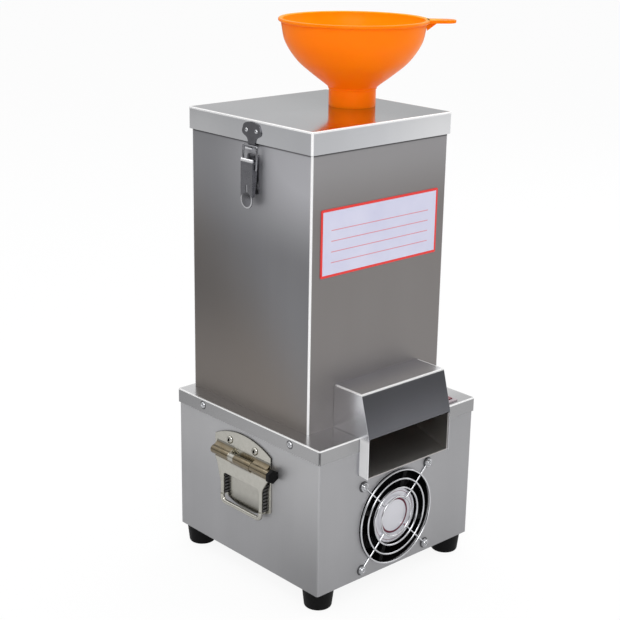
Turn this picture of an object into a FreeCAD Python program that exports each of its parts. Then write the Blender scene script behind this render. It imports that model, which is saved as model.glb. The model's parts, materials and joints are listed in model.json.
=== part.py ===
import FreeCAD, Part
import math
import os
from FreeCAD import Vector

# Garlic peeling machine: a square cabinet on rubber feet, a square tower with a lift-off lid,
# a round peeling drum inside the tower, a front chute, a cooling fan and a loose feed funnel.
# Millimetres. X is to the right seen from the front, Y runs to the back, Z is up.
# The origin lies on the ground under the middle of the cabinet.

# Cabinet and its cover. The ledges are what the cabinet has beyond the tower on each side.
cabinet_height = 178.0
side_ledge = 20.0
front_ledge = 41.5
back_ledge = 3.5
foot_height = 23.0
foot_top_radius = 18.5
foot_base_radius = 15.8
foot_inset = 18.5
foot_edge = 1.5
foot_recess = 6.0
foot_recess_radius = 7.0
foot_screw_radius = 2.5
sheet = 1.2
corner_radius = 2.5
bottom_flange = 36.0
cover_gap = 0.3
cover_flange = 17.0
corner_slit = 0.8
cover_screw_spacing = 155.0
cover_screw_drop = 7.5
cover_screw_radius = 2.0
cover_screw_length = 9.0
floor_slot_width = 6.0
floor_slot_length = 100.0
floor_slot_pitch = 16.0
floor_slot_count = 7
vent_width = 5.0
vent_height = 26.0
vent_pitch = 14.0
vent_row_pitch = 34.0
vent_low = 40.0
vent_centre_x = 14.0
vent_columns = 8
vent_rows = 3

# Fasteners: sizes of heads and nuts for a shank of radius 1
screw_head = 1.95
screw_head_rise = 1.1
bolt_head = 1.8
bolt_head_rise = 1.2
bolt_nut = 1.85
bolt_nut_rise = 1.6
thread_end = 2.6

# Tower and lid
tower_width = 210.0
tower_depth = 205.0
tower_height = 340.0
tower_tab = 26.0
tower_bolt_radius = 2.5
lid_gap = 1.3
lid_flange = 25.0
lid_edge = 1.0
seal_thickness = 3.0
seal_margin = 2.0
plate_width = 182.0
plate_height = 76.0
plate_thickness = 0.6
plate_corner = 2.0
plate_centre_height = 216.0

# Peeling drum and rotor
drum_margin = 12.5
drum_flange = 10.5
top_flange_cut = 2.5
drum_depth = 31.0
drum_bolt_radius = 2.0
drum_bolt_count = 6
liner_thickness = 3.0
liner_fit = 0.1
liner_rib_radius = 3.0
liner_rib_count = 12
liner_drop = 12.0
liner_rib_end = 10.0
window_margin = 4.0
window_rise = 2.0
window_drop = 3.0
disc_thickness = 6.0
disc_lift = 5.0
disc_gap = 2.5
disc_rib_count = 6
disc_rib_radius = 4.0
shaft_radius = 7.0
running_gap = 0.05
seal_ring_radius = 14.0
seal_ring_height = 4.0
nut_height = 8.0
thread_radius = 5.0
thread_rise = 2.0
collar_size = 2.0
shaft_end_gap = 3.0

# Motor
motor_plate_radius = 80.0
motor_plate_thickness = 4.0
motor_radius = 62.0
motor_cap_height = 18.0
motor_stator_height = 70.0
motor_air_gap = 0.6
rotor_radius = 36.0
bearing_radius = 17.5
bearing_height = 10.0
motor_bolt_radius = 2.5
motor_bolt_circle = 52.0
capacitor_radius = 18.0
capacitor_length = 70.0
capacitor_inset = 34.0
capacitor_y = 60.0
capacitor_pin_length = 8.0
capacitor_pin_width = 6.0
clamp_width = 18.0
clamp_foot = 12.0

# Chute
chute_width = 133.2
hood_height = 51.5
hood_reach = 44.5
lip_lean = 13.3
lip_drop = 49.5
mouth_height = 48.6
tray_slope = 0.286
tray_gap = 0.1

# Fan
fan_size = 119.0
fan_depth = 38.0
fan_hole_spacing = 104.8
fan_centre_x = -4.0
fan_centre_height = 63.0
fan_bore_radius = 57.5
fan_flange = 5.0
fan_hub_radius = 34.0
fan_hub_depth = 7.0
fan_blade_count = 7
fan_blade_gap = 3.0
fan_screw_radius = 2.0
guard_wire = 1.1
guard_ring_radius = 57.0
guard_ring_pitch = 10.9
guard_ring_count = 4

# Switch and cord gland
switch_x = 89.0
switch_ahead = 20.5
switch_width = 21.0
switch_length = 28.0
switch_lip = 2.5
switch_depth = 22.0
rocker_gap = 0.4
rocker_tilt = 11.0
gland_x = -85.0
gland_height = 40.0
gland_radius = 8.0
gland_bore = 4.0
gland_nut = 7.0
gland_dome = 9.3

# Funnel
funnel_offset_x = 48.0
funnel_offset_y = -2.5
spout_radius = 27.3
spout_height = 21.5
spout_wall = 2.0
spout_plug_radius = 24.6
spout_plug_length = 22.0
spout_fit = 0.5
bowl_radius = 83.0
bowl_height = 70.5
bowl_tolerance = 0.3
rim_width = 3.5
rim_height = 7.0
tab_reach = 30.0
tab_width = 26.0
tab_thickness = 3.5
tab_angle = -42.6

# Latches: one on each side of the tower
latch_offset_y = -8.0
latch_base_width = 20.0
latch_base_height = 44.0
latch_pivot_drop = 46.0
latch_pivot_reach = 6.5
latch_pin_radius = 2.0
latch_eye_wall = 0.8
latch_ear_half = 8.6
latch_sheet = 1.0
latch_side_gap = 0.3
lever_depth = 7.0
lever_length = 52.0
lever_tab_length = 14.0
bail_wire = 1.25
bail_pivot_drop = 8.0
bail_pivot_inset = 0.2
bail_bar_reach = 5.1
bail_length = 25.5
keeper_width = 33.0
keeper_neck = 11.0
keeper_sheet = 1.2
rivet_radius = 2.4

# Side handles: one on each side of the cabinet
handle_centre_y = 4.0
handle_plate_width = 100.0
handle_plate_rise = 12.5
handle_plate_sheet = 2.0
handle_top_drop = 22.0
handle_plate_height = 92.0
handle_barrel_offset = -5.0
handle_barrel_drop = 30.0
handle_barrel_radius = 5.3
handle_barrel_reach = 7.6
handle_barrel_length = 102.0
handle_knuckle_length = 38.0
handle_pin_radius = 2.5
handle_knuckle_gap = 0.4
handle_screw_radius = 2.5
handle_screw_spacing = 45.0
handle_screw_drop = 13.0
handle_cap_length = 5.0
handle_cap_radius = 8.3
grip_sheet = 2.0
grip_length = 61.0
grip_width = 74.0
grip_web = 24.0
grip_shoulder = 2.0
grip_bar_radius = 2.9
grip_leg = 5.0
grip_rest = 0.1
buffer_start = 9.0
buffer_end = 13.0

# Heights and places that follow from the sizes above
half_width = tower_width / 2 + side_ledge
half_depth = (tower_depth + front_ledge + back_ledge) / 2
tower_setback = (front_ledge - back_ledge) / 2
cover_top = foot_height + cabinet_height
lid_top = cover_top + tower_height
tower_top = lid_top - sheet - seal_thickness
tower_half_width = tower_width / 2
tower_front = tower_setback - tower_depth / 2
tower_back = tower_setback + tower_depth / 2
foot_x = half_width - foot_inset
foot_y = half_depth - foot_inset
flange_front = -half_depth - cover_gap - sheet
chute_half = chute_width / 2
tray_half = chute_half - sheet - tray_gap
hood_top = cover_top + hood_height
hood_front = tower_front - hood_reach
lip_front = hood_front - lip_lean
lip_bottom = hood_top - lip_drop
mouth_bottom = lip_bottom - mouth_height
drum_radius = min(tower_width, tower_depth) / 2 - drum_margin
drum_inner = drum_radius - sheet
drum_floor = cover_top - drum_depth
disc_low = drum_floor + sheet + disc_lift
disc_top = disc_low + disc_thickness
liner_outer = drum_inner - liner_fit
liner_inner = liner_outer - liner_thickness
disc_radius = liner_inner - liner_rib_radius - disc_gap
window_half = tray_half - sheet - window_margin
window_low = disc_top + window_rise
window_high = hood_top - sheet - window_drop
motor_top = drum_floor - motor_plate_thickness
motor_bottom = motor_top - 2 * motor_cap_height - motor_stator_height
fan_z = foot_height + fan_centre_height
fan_front = -half_depth + sheet
switch_y = tower_front - switch_ahead
funnel_x = funnel_offset_x
funnel_y = tower_setback + funnel_offset_y
latch_y = tower_setback + latch_offset_y
latch_pivot_z = lid_top - latch_pivot_drop
latch_eye_radius = latch_pin_radius + latch_eye_wall
bail_pivot_z = latch_pivot_z - bail_pivot_drop
bail_bar_z = bail_pivot_z + bail_length
side_x = -tower_half_width
handle_top = cover_top - handle_top_drop
handle_axis_z = handle_top - handle_barrel_drop
handle_axis_x = -half_width - handle_barrel_reach
handle_barrel_y = handle_centre_y + handle_barrel_offset


def save(name, shape):
    shape.exportStep("parts/" + name + ".step")


def block(x0, x1, y0, y1, z0, z1):
    return Part.makeBox(x1 - x0, y1 - y0, z1 - z0, Vector(x0, y0, z0))


def round_block(x0, x1, y0, y1, z0, z1, radius):
    """An upright block with its four standing edges rounded."""
    solid = block(x0, x1, y0, y1, z0, z1)
    standing = [edge for edge in solid.Edges
                if abs(edge.Vertexes[0].X - edge.Vertexes[1].X) < 1e-6
                and abs(edge.Vertexes[0].Y - edge.Vertexes[1].Y) < 1e-6]
    return solid.makeFillet(radius, standing)


def rod(start, end, radius):
    direction = end - start
    return Part.makeCylinder(radius, direction.Length, start, direction)


def ring(start, end, outer, inner):
    return rod(start, end, outer).cut(rod(start, end, inner))


def slab(points, thickness):
    """A flat plate: a closed outline of points, pushed along the thickness vector."""
    outline = Part.makePolygon(points + [points[0]])
    return Part.Face(outline).extrude(thickness)


def slab_yz(points, x0, x1):
    return slab([Vector(x0, y, z) for y, z in points], Vector(x1 - x0, 0, 0))


def turned(points, x, y):
    """A solid of revolution about an upright axis, from (radius, height) points."""
    outline = Part.makePolygon([Vector(r, 0, z) for r, z in points + [points[0]]])
    solid = Part.Face(outline).revolve(Vector(0, 0, 0), Vector(0, 0, 1), 360)
    solid.translate(Vector(x, y, 0))
    return solid


def domed_head(base, outward, radius, height):
    """A low round screw or rivet head that stands on base and points outward."""
    ball_radius = (radius ** 2 + height ** 2) / (2 * height)
    ball = Part.makeSphere(ball_radius, base - outward * (ball_radius - height))
    return ball.common(rod(base, base + outward * (2 * height), radius))


def domed_screw(base, outward, shank, depth):
    head = domed_head(base, outward, shank * screw_head, shank * screw_head_rise)
    return head.fuse(rod(base - outward * depth, base, shank))


def bolt(seat, nut_seat, radius):
    """A bolt whose head stands on seat, with its nut against nut_seat at the other end."""
    outward = (seat - nut_seat).normalize()
    head = rod(seat, seat + outward * (radius * bolt_head_rise), radius * bolt_head)
    shank = rod(nut_seat - outward * (radius * thread_end), seat, radius)
    nut = rod(nut_seat - outward * (radius * bolt_nut_rise), nut_seat, radius * bolt_nut)
    return joined([head, shank, nut])


def joined(shapes):
    return shapes[0].fuse(shapes[1:]).removeSplitter()


def group(shapes):
    return Part.makeCompound(shapes)


def mirrored(shape):
    return shape.mirror(Vector(0, 0, 0), Vector(1, 0, 0))


def both_sides(shape):
    return group([shape, mirrored(shape)])


def corner_places(x, y, centre_y=0.0):
    return [(sx * x, centre_y + sy * y) for sx in (-1, 1) for sy in (-1, 1)]


def fan_corners():
    half = fan_hole_spacing / 2
    return [(fan_centre_x + sx * half, fan_z + sz * half) for sx in (-1, 1) for sz in (-1, 1)]


def drum_bolt_places():
    circle = drum_radius + drum_flange / 2
    first = 360.0 / drum_bolt_count
    angles = [math.radians(90 + first * (index + 0.5)) for index in range(drum_bolt_count)]
    places = [(circle * math.cos(a), tower_setback + circle * math.sin(a)) for a in angles]
    return [(x, y) for x, y in places if y > tower_setback or abs(x) > chute_half + window_margin]


def tower_bolt_places():
    return corner_places(tower_half_width - sheet - tower_tab / 2,
                         tower_depth / 2 - sheet - tower_tab / 2, tower_setback)


def cover_screw_places():
    z = cover_top - cover_screw_drop
    half = cover_screw_spacing / 2
    return [(side, offset, z) for side in (-1, 1) for offset in (-half, half)]


def handle_screw_places():
    z = handle_top - handle_screw_drop
    half = handle_screw_spacing / 2
    return [(handle_centre_y + offset, z) for offset in (-half, half)]


# Cabinet

def base_cabinet():
    low = foot_height
    high = cover_top - sheet
    outer = round_block(-half_width, half_width, -half_depth, half_depth, low, high, corner_radius)
    inner = round_block(-half_width + sheet, half_width - sheet, -half_depth + sheet,
                        half_depth - sheet, low + sheet, high + 1, corner_radius - sheet)
    shell = outer.cut(inner)
    open_x = half_width - bottom_flange
    open_y = half_depth - bottom_flange
    cuts = [block(-open_x, open_x, -open_y, open_y, low - 1, low + sheet + 1)]
    cuts += [rod(Vector(x, y, low - 1), Vector(x, y, low + sheet + 1), foot_screw_radius + running_gap)
             for x, y in corner_places(foot_x, foot_y)]
    front = Vector(0, -half_depth - 1, 0)
    deep = Vector(0, sheet + 2, 0)
    fan_middle = front + Vector(fan_centre_x, 0, fan_z)
    cuts.append(rod(fan_middle, fan_middle + deep, fan_bore_radius))
    for x, z in fan_corners():
        place = front + Vector(x, 0, z)
        cuts.append(rod(place, place + deep, fan_screw_radius + running_gap))
    notch = tray_half + tray_gap
    cuts.append(block(-notch, notch, -half_depth - 1, -half_depth + sheet + 1, mouth_bottom, high + 1))
    gland_z = foot_height + gland_height
    cuts.append(rod(Vector(gland_x, half_depth - sheet - 1, gland_z),
                    Vector(gland_x, half_depth + 1, gland_z), gland_radius + running_gap))
    cuts += rear_vents()
    for side, y, z in cover_screw_places():
        cuts.append(rod(Vector(side * (half_width - sheet - 1), y, z),
                        Vector(side * (half_width + 1), y, z), cover_screw_radius + running_gap))
    for y, z in handle_screw_places():
        cuts.append(rod(Vector(-half_width - 1, y, z), Vector(half_width + 1, y, z),
                        handle_screw_radius + running_gap))
    return shell.cut(cuts)


def rear_vents():
    """Rows of upright air slots in the back wall, where the warm air leaves."""
    slots = []
    for row in range(vent_rows):
        z = foot_height + vent_low + row * vent_row_pitch
        for column in range(vent_columns):
            x = vent_centre_x + (column - (vent_columns - 1) / 2) * vent_pitch
            slots.append(round_slot(x, z, vent_width, vent_height))
    return slots


def round_slot(x, z, width, height):
    y0 = half_depth - sheet - 1
    y1 = half_depth + 1
    low = Vector(x, y0, z + width / 2)
    high = Vector(x, y0, z + height - width / 2)
    deep = Vector(0, y1 - y0, 0)
    middle = block(x - width / 2, x + width / 2, y0, y1, low.z, high.z)
    return middle.fuse([rod(low, low + deep, width / 2), rod(high, high + deep, width / 2)])


def base_floor():
    gap = sheet + 0.4
    low = foot_height + sheet
    plate = round_block(-half_width + gap, half_width - gap, -half_depth + gap, half_depth - gap,
                        low, low + sheet, corner_radius)
    cuts = [rod(Vector(x, y, low - 1), Vector(x, y, low + sheet + 1), foot_screw_radius + running_gap)
            for x, y in corner_places(foot_x, foot_y)]
    half = floor_slot_length / 2
    for index in range(floor_slot_count):
        x = (index - (floor_slot_count - 1) / 2) * floor_slot_pitch
        cuts.append(block(x - floor_slot_width / 2, x + floor_slot_width / 2, tower_setback - half,
                          tower_setback + half, low - 1, low + sheet + 1))
    return plate.cut(cuts)


def base_cover():
    out_x = half_width + cover_gap + sheet
    out_y = half_depth + cover_gap + sheet
    low = cover_top - cover_flange
    outer = round_block(-out_x, out_x, -out_y, out_y, low, cover_top, corner_radius)
    inner = block(-out_x + sheet, out_x - sheet, -out_y + sheet, out_y - sheet, low - 1, cover_top - sheet)
    cover = outer.cut(inner)
    notch = tray_half + tray_gap
    cuts = [rod(Vector(0, tower_setback, low), Vector(0, tower_setback, cover_top + 1),
                drum_radius + liner_fit)]
    cuts.append(block(-notch, notch, -out_y - 1, tower_setback, low - 1, cover_top + 1))
    for x, y in drum_bolt_places():
        cuts.append(rod(Vector(x, y, low), Vector(x, y, cover_top + 1), drum_bolt_radius + running_gap))
    for x, y in tower_bolt_places():
        cuts.append(rod(Vector(x, y, low), Vector(x, y, cover_top + 1), tower_bolt_radius + running_gap))
    for side, y, z in cover_screw_places():
        cuts.append(rod(Vector(side * (out_x - sheet - 1), y, z), Vector(side * (out_x + 1), y, z),
                        cover_screw_radius + running_gap))
    half = corner_slit / 2
    for x, y in corner_places(out_x, out_y):
        slit = block(-half, half, -3 * corner_radius, 3 * corner_radius, low - 1, cover_top - sheet)
        slit.rotate(Vector(0, 0, 0), Vector(0, 0, 1), -45 if x * y > 0 else 45)
        slit.translate(Vector(x, y, 0))
        cuts.append(slit)
    cuts.append(block(switch_x - switch_width / 2, switch_x + switch_width / 2,
                      switch_y - switch_length / 2, switch_y + switch_length / 2,
                      low, cover_top + 1))
    return cover.cut(cuts)


def cover_screws():
    screws = []
    for side, y, z in cover_screw_places():
        outward = Vector(side, 0, 0)
        base = Vector(side * (half_width + cover_gap + sheet), y, z)
        screws.append(domed_screw(base, outward, cover_screw_radius, cover_screw_length))
    return group(screws)


def rubber_feet():
    feet = []
    for x, y in corner_places(foot_x, foot_y):
        outline = [(0, foot_recess), (foot_recess_radius, foot_recess), (foot_recess_radius, 0),
                   (foot_base_radius - foot_edge, 0), (foot_base_radius, foot_edge),
                   (foot_top_radius, foot_height), (0, foot_height)]
        foot = turned(outline, x, y)
        bore = rod(Vector(x, y, 0), Vector(x, y, foot_height + 1), foot_screw_radius + running_gap)
        feet.append(foot.cut(bore))
    return group(feet)


def foot_screws():
    top = foot_height + 2 * sheet
    return group([bolt(Vector(x, y, foot_recess), Vector(x, y, top), foot_screw_radius)
                  for x, y in corner_places(foot_x, foot_y)])


# Tower and lid

def tower_shell():
    x = tower_half_width
    outer = round_block(-x, x, tower_front, tower_back, cover_top, tower_top, corner_radius)
    inner = round_block(-x + sheet, x - sheet, tower_front + sheet, tower_back - sheet,
                        cover_top - 1, tower_top + 1, corner_radius - sheet)
    shell = outer.cut(inner)
    tabs = []
    for place_x, place_y in tower_bolt_places():
        half = tower_tab / 2
        tab = block(place_x - half, place_x + half, place_y - half, place_y + half,
                    cover_top, cover_top + sheet)
        hole = rod(Vector(place_x, place_y, cover_top - 1), Vector(place_x, place_y, cover_top + sheet + 1),
                   tower_bolt_radius + running_gap)
        tabs.append(tab.cut(hole))
    shell = joined([shell] + tabs)
    window = block(-tray_half - tray_gap, tray_half + tray_gap, tower_front - 1, tower_front + sheet + 1,
                   cover_top - 1, hood_top - sheet)
    return shell.cut(window)


def tower_bolts():
    return group([bolt(Vector(x, y, cover_top + sheet), Vector(x, y, cover_top - sheet), tower_bolt_radius)
                  for x, y in tower_bolt_places()])


def rating_plate():
    z = cover_top + plate_centre_height
    half_w = plate_width / 2
    half_h = plate_height / 2
    plate = block(-half_w, half_w, tower_front - plate_thickness, tower_front, z - half_h, z + half_h)
    edges = [edge for edge in plate.Edges
             if abs(edge.Vertexes[0].Y - edge.Vertexes[1].Y) > plate_thickness / 2]
    return plate.makeFillet(plate_corner, edges)


def tower_lid():
    out_x = tower_half_width + lid_gap + sheet
    front = tower_front - lid_gap - sheet
    back = tower_back + lid_gap + sheet
    low = lid_top - lid_flange
    outer = round_block(-out_x, out_x, front, back, low, lid_top, corner_radius)
    rim = [edge for edge in outer.Edges if min(vertex.Z for vertex in edge.Vertexes) > lid_top - 0.01]
    outer = outer.makeFillet(lid_edge, rim)
    inner = round_block(-out_x + sheet, out_x - sheet, front + sheet, back - sheet, low - 1,
                        lid_top - sheet, corner_radius - sheet)
    hole = rod(Vector(funnel_x, funnel_y, lid_top - sheet - 1), Vector(funnel_x, funnel_y, lid_top + 1),
               spout_plug_radius + spout_fit)
    return outer.cut([inner, hole])


def lid_seal():
    half_w = tower_half_width - seal_margin
    half_d = tower_depth / 2 - seal_margin
    pad = round_block(-half_w, half_w, tower_setback - half_d, tower_setback + half_d,
                      tower_top, lid_top - sheet, corner_radius)
    hole = rod(Vector(0, tower_setback, tower_top - 1), Vector(0, tower_setback, lid_top), liner_inner)
    return pad.cut(hole)


# Drum, liner and rotor

def drum_window():
    return block(-window_half, window_half, tower_setback - 2 * drum_radius, tower_setback,
                 window_low, window_high)


def peeling_drum():
    y = tower_setback
    flange_radius = drum_radius + drum_flange
    outline = [(seal_ring_radius, drum_floor), (drum_radius, drum_floor), (drum_radius, cover_top),
               (flange_radius, cover_top), (flange_radius, cover_top + sheet),
               (drum_radius, cover_top + sheet), (drum_radius, tower_top - sheet),
               (flange_radius - top_flange_cut, tower_top - sheet), (flange_radius - top_flange_cut, tower_top),
               (drum_inner, tower_top), (drum_inner, drum_floor + sheet),
               (seal_ring_radius, drum_floor + sheet)]
    drum = turned(outline, 0, y)
    cuts = [drum_window()]
    gap_half = chute_half + window_margin
    front_gap = block(-gap_half, gap_half, y - 2 * drum_radius, y - drum_radius * 0.6,
                      cover_top - 0.5, cover_top + sheet + 0.5)
    cuts.append(front_gap.cut(rod(Vector(0, y, drum_floor), Vector(0, y, tower_top), drum_radius)))
    for x, bolt_y in drum_bolt_places():
        cuts.append(rod(Vector(x, bolt_y, cover_top - 1), Vector(x, bolt_y, cover_top + sheet + 1),
                        drum_bolt_radius + running_gap))
    for x, bolt_y in motor_bolt_places():
        cuts.append(rod(Vector(x, bolt_y, drum_floor - 1), Vector(x, bolt_y, drum_floor + sheet + 1),
                        motor_bolt_radius + running_gap))
    return drum.cut(cuts)


def drum_liner():
    y = tower_setback
    low = drum_floor + sheet
    high = tower_top - liner_drop
    liner = ring(Vector(0, y, low), Vector(0, y, high), liner_outer, liner_inner)
    ribs = []
    for index in range(liner_rib_count):
        angle = 2 * math.pi * (index + 0.5) / liner_rib_count
        x = liner_inner * math.cos(angle)
        rib_y = y + liner_inner * math.sin(angle)
        ribs.append(rod(Vector(x, rib_y, window_low + window_margin), Vector(x, rib_y, high - liner_rib_end),
                        liner_rib_radius))
    inside = rod(Vector(0, y, low), Vector(0, y, high), liner_outer)
    ribs = [rib.common(inside) for rib in ribs]
    return joined([liner] + ribs).cut(drum_window())


def drum_bolts():
    return group([bolt(Vector(x, y, cover_top + sheet), Vector(x, y, cover_top - sheet), drum_bolt_radius)
                  for x, y in drum_bolt_places()])


def shaft_seal():
    y = tower_setback
    low = drum_floor - 0.5
    return ring(Vector(0, y, low), Vector(0, y, low + seal_ring_height), seal_ring_radius - running_gap,
                shaft_radius + running_gap)


def motor_shaft():
    y = tower_setback
    low = motor_bottom + shaft_end_gap
    shaft = rod(Vector(0, y, low), Vector(0, y, disc_top), shaft_radius)
    thread = rod(Vector(0, y, disc_top), Vector(0, y, disc_top + nut_height + thread_rise), thread_radius)
    collar = rod(Vector(0, y, disc_low - collar_size), Vector(0, y, disc_low), shaft_radius + collar_size)
    return joined([shaft, thread, collar])


def peeling_disc():
    y = tower_setback
    disc = rod(Vector(0, y, disc_low), Vector(0, y, disc_top), disc_radius)
    rim = disc.Edges
    top_edge = [edge for edge in rim if len(edge.Vertexes) == 1 and edge.Vertexes[0].Z > disc_top - 0.01]
    disc = disc.makeFillet(2.0, top_edge)
    return disc.cut(rod(Vector(0, y, disc_low - 1), Vector(0, y, disc_top + 1), shaft_radius + running_gap))


def disc_ribs():
    """Soft half-round ribs that lie on the disc and rub the cloves."""
    y = tower_setback
    inner_end = 26.0
    ribs = []
    for index in range(disc_rib_count):
        angle = 360.0 * index / disc_rib_count
        start = Vector(inner_end, 0, disc_top)
        end = Vector(disc_radius - 6.0, 0, disc_top)
        bar = rod(start, end, disc_rib_radius)
        bar = bar.fuse([Part.makeSphere(disc_rib_radius, start), Part.makeSphere(disc_rib_radius, end)])
        above = block(0, disc_radius, -disc_rib_radius, disc_rib_radius, disc_top,
                      disc_top + disc_rib_radius)
        rib = bar.common(above)
        rib.rotate(Vector(0, 0, 0), Vector(0, 0, 1), angle)
        rib.translate(Vector(0, y, 0))
        ribs.append(rib)
    return group(ribs)


def disc_nut():
    y = tower_setback
    hex_radius = shaft_radius * 1.85
    corners = [Vector(hex_radius * math.cos(math.radians(60 * k)),
                      y + hex_radius * math.sin(math.radians(60 * k)), disc_top) for k in range(6)]
    nut = slab(corners, Vector(0, 0, nut_height))
    cap = Part.makeSphere(hex_radius * 0.77, Vector(0, y, disc_top + nut_height))
    cap = cap.common(rod(Vector(0, y, disc_top + nut_height), Vector(0, y, lid_top), hex_radius))
    bore = rod(Vector(0, y, disc_top), Vector(0, y, disc_top + nut_height + thread_rise),
               thread_radius + running_gap)
    return joined([nut, cap]).cut(bore)


# Motor

def motor_bolt_places():
    circle = motor_bolt_circle
    angles = [math.radians(45 + 90 * k) for k in range(4)]
    return [(circle * math.cos(a), tower_setback + circle * math.sin(a)) for a in angles]


def motor_plate():
    y = tower_setback
    plate = ring(Vector(0, y, motor_top), Vector(0, y, drum_floor), motor_plate_radius, seal_ring_radius + 2.0)
    holes = [rod(Vector(x, bolt_y, motor_top - 1), Vector(x, bolt_y, drum_floor + 1),
                 motor_bolt_radius + running_gap) for x, bolt_y in motor_bolt_places()]
    return plate.cut(holes)


def motor_cap(low, high, bearing_low, open_side_high):
    """A cast end cap: a cup with a seat for its bearing and a ring of air holes."""
    y = tower_setback
    wall = 5.0
    cap = rod(Vector(0, y, low), Vector(0, y, high), motor_radius)
    if open_side_high:
        hollow = ring(Vector(0, y, low + wall), Vector(0, y, high + 1), motor_radius - wall,
                      bearing_radius + wall)
    else:
        hollow = ring(Vector(0, y, low - 1), Vector(0, y, high - wall), motor_radius - wall,
                      bearing_radius + wall)
    seat = rod(Vector(0, y, bearing_low), Vector(0, y, bearing_low + bearing_height),
               bearing_radius + running_gap)
    way = rod(Vector(0, y, low - 1), Vector(0, y, high + 1), shaft_radius + 1.0)
    cuts = [hollow, seat, way]
    for x, bolt_y in motor_bolt_places():
        cuts.append(rod(Vector(x, bolt_y, low - 1), Vector(x, bolt_y, high + 1),
                        motor_bolt_radius + running_gap))
    for index in range(8):
        angle = 2 * math.pi * (index + 0.5) / 8
        x = 34.0 * math.cos(angle)
        hole_y = y + 34.0 * math.sin(angle)
        face_low = low - 1 if open_side_high else high - wall - 1
        cuts.append(rod(Vector(x, hole_y, face_low), Vector(x, hole_y, face_low + wall + 2), 4.0))
    return cap.cut(cuts)


def motor_top_cap():
    low = motor_top - motor_cap_height
    return motor_cap(low, motor_top, motor_top - bearing_height - 4.0, False)


def motor_bottom_cap():
    high = motor_bottom + motor_cap_height
    return motor_cap(motor_bottom, high, motor_bottom + 4.0, True)


def motor_stator():
    y = tower_setback
    low = motor_bottom + motor_cap_height
    high = motor_top - motor_cap_height
    core = ring(Vector(0, y, low), Vector(0, y, high), motor_radius, rotor_radius + motor_air_gap)
    grooves = []
    for index in range(16):
        angle = math.degrees(2 * math.pi * (index + 0.5) / 16)
        groove = block(motor_radius - 3.0, motor_radius + 2.0, -3.0, 3.0, low + 8.0, high - 8.0)
        groove.rotate(Vector(0, 0, 0), Vector(0, 0, 1), angle)
        groove.translate(Vector(0, y, 0))
        grooves.append(groove)
    for x, bolt_y in motor_bolt_places():
        grooves.append(rod(Vector(x, bolt_y, low - 1), Vector(x, bolt_y, high + 1),
                           motor_bolt_radius + running_gap))
    return core.cut(grooves)


def motor_rotor():
    y = tower_setback
    low = motor_bottom + motor_cap_height
    high = motor_top - motor_cap_height
    return ring(Vector(0, y, low), Vector(0, y, high), rotor_radius, shaft_radius)


def motor_bearings():
    y = tower_setback
    lows = (motor_top - bearing_height - 4.0, motor_bottom + 4.0)
    return group([ring(Vector(0, y, low), Vector(0, y, low + bearing_height), bearing_radius,
                       shaft_radius + running_gap) for low in lows])


def motor_bolts():
    return group([bolt(Vector(x, y, drum_floor + sheet), Vector(x, y, motor_bottom), motor_bolt_radius)
                  for x, y in motor_bolt_places()])


def capacitor_centre():
    floor_high = foot_height + 2 * sheet
    return Vector(half_width - capacitor_inset, capacitor_y, floor_high + capacitor_radius + sheet)


def motor_capacitor():
    centre = capacitor_centre()
    half = Vector(0, capacitor_length / 2, 0)
    can = rod(centre - half, centre + half, capacitor_radius)
    pins = []
    for side in (-1, 1):
        x = centre.x + side * capacitor_radius * 0.45
        pins.append(block(x - capacitor_pin_width / 2, x + capacitor_pin_width / 2,
                          centre.y - half.y - capacitor_pin_length, centre.y - half.y,
                          centre.z - sheet / 2, centre.z + sheet / 2))
    return joined([can] + pins)


def capacitor_clamp():
    """A strap round the capacitor with two feet that stand on the cabinet floor."""
    centre = capacitor_centre()
    floor_high = foot_height + 2 * sheet
    half = Vector(0, clamp_width / 2, 0)
    outer = capacitor_radius + sheet
    strap = rod(centre - half, centre + half, outer)
    foot = block(centre.x - outer - clamp_foot, centre.x + outer, centre.y - half.y, centre.y + half.y,
                 floor_high, floor_high + sheet)
    way = rod(centre - half * 2, centre + half * 2, capacitor_radius + running_gap)
    return joined([strap, foot]).cut(way)


# Chute

def hood_profile():
    flange_low = cover_top - cover_flange
    return [(tower_front, cover_top), (tower_front, hood_top), (hood_front, hood_top),
            (lip_front, lip_bottom), (lip_front, mouth_bottom), (-half_depth, mouth_bottom + 2.0),
            (-half_depth, flange_low), (flange_front, flange_low), (flange_front, cover_top)]


def chute_hood():
    outer = slab_yz(hood_profile(), -chute_half, chute_half)
    lip_length = math.hypot(lip_lean, lip_drop)
    inset = sheet * lip_length / lip_drop
    ceiling = hood_top - sheet
    top_y = hood_front + inset - lip_lean * sheet / lip_drop
    behind = tower_front + 5.0
    below = mouth_bottom - 10.0
    ahead = lip_front - 10.0
    space = [(behind, ceiling), (top_y, ceiling), (lip_front + inset, lip_bottom), (ahead, lip_bottom),
             (ahead, below), (behind, below)]
    return outer.cut(slab_yz(space, -chute_half + sheet, chute_half - sheet))


def tray_height(y):
    return mouth_bottom + tray_slope * (y - lip_front)


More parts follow.
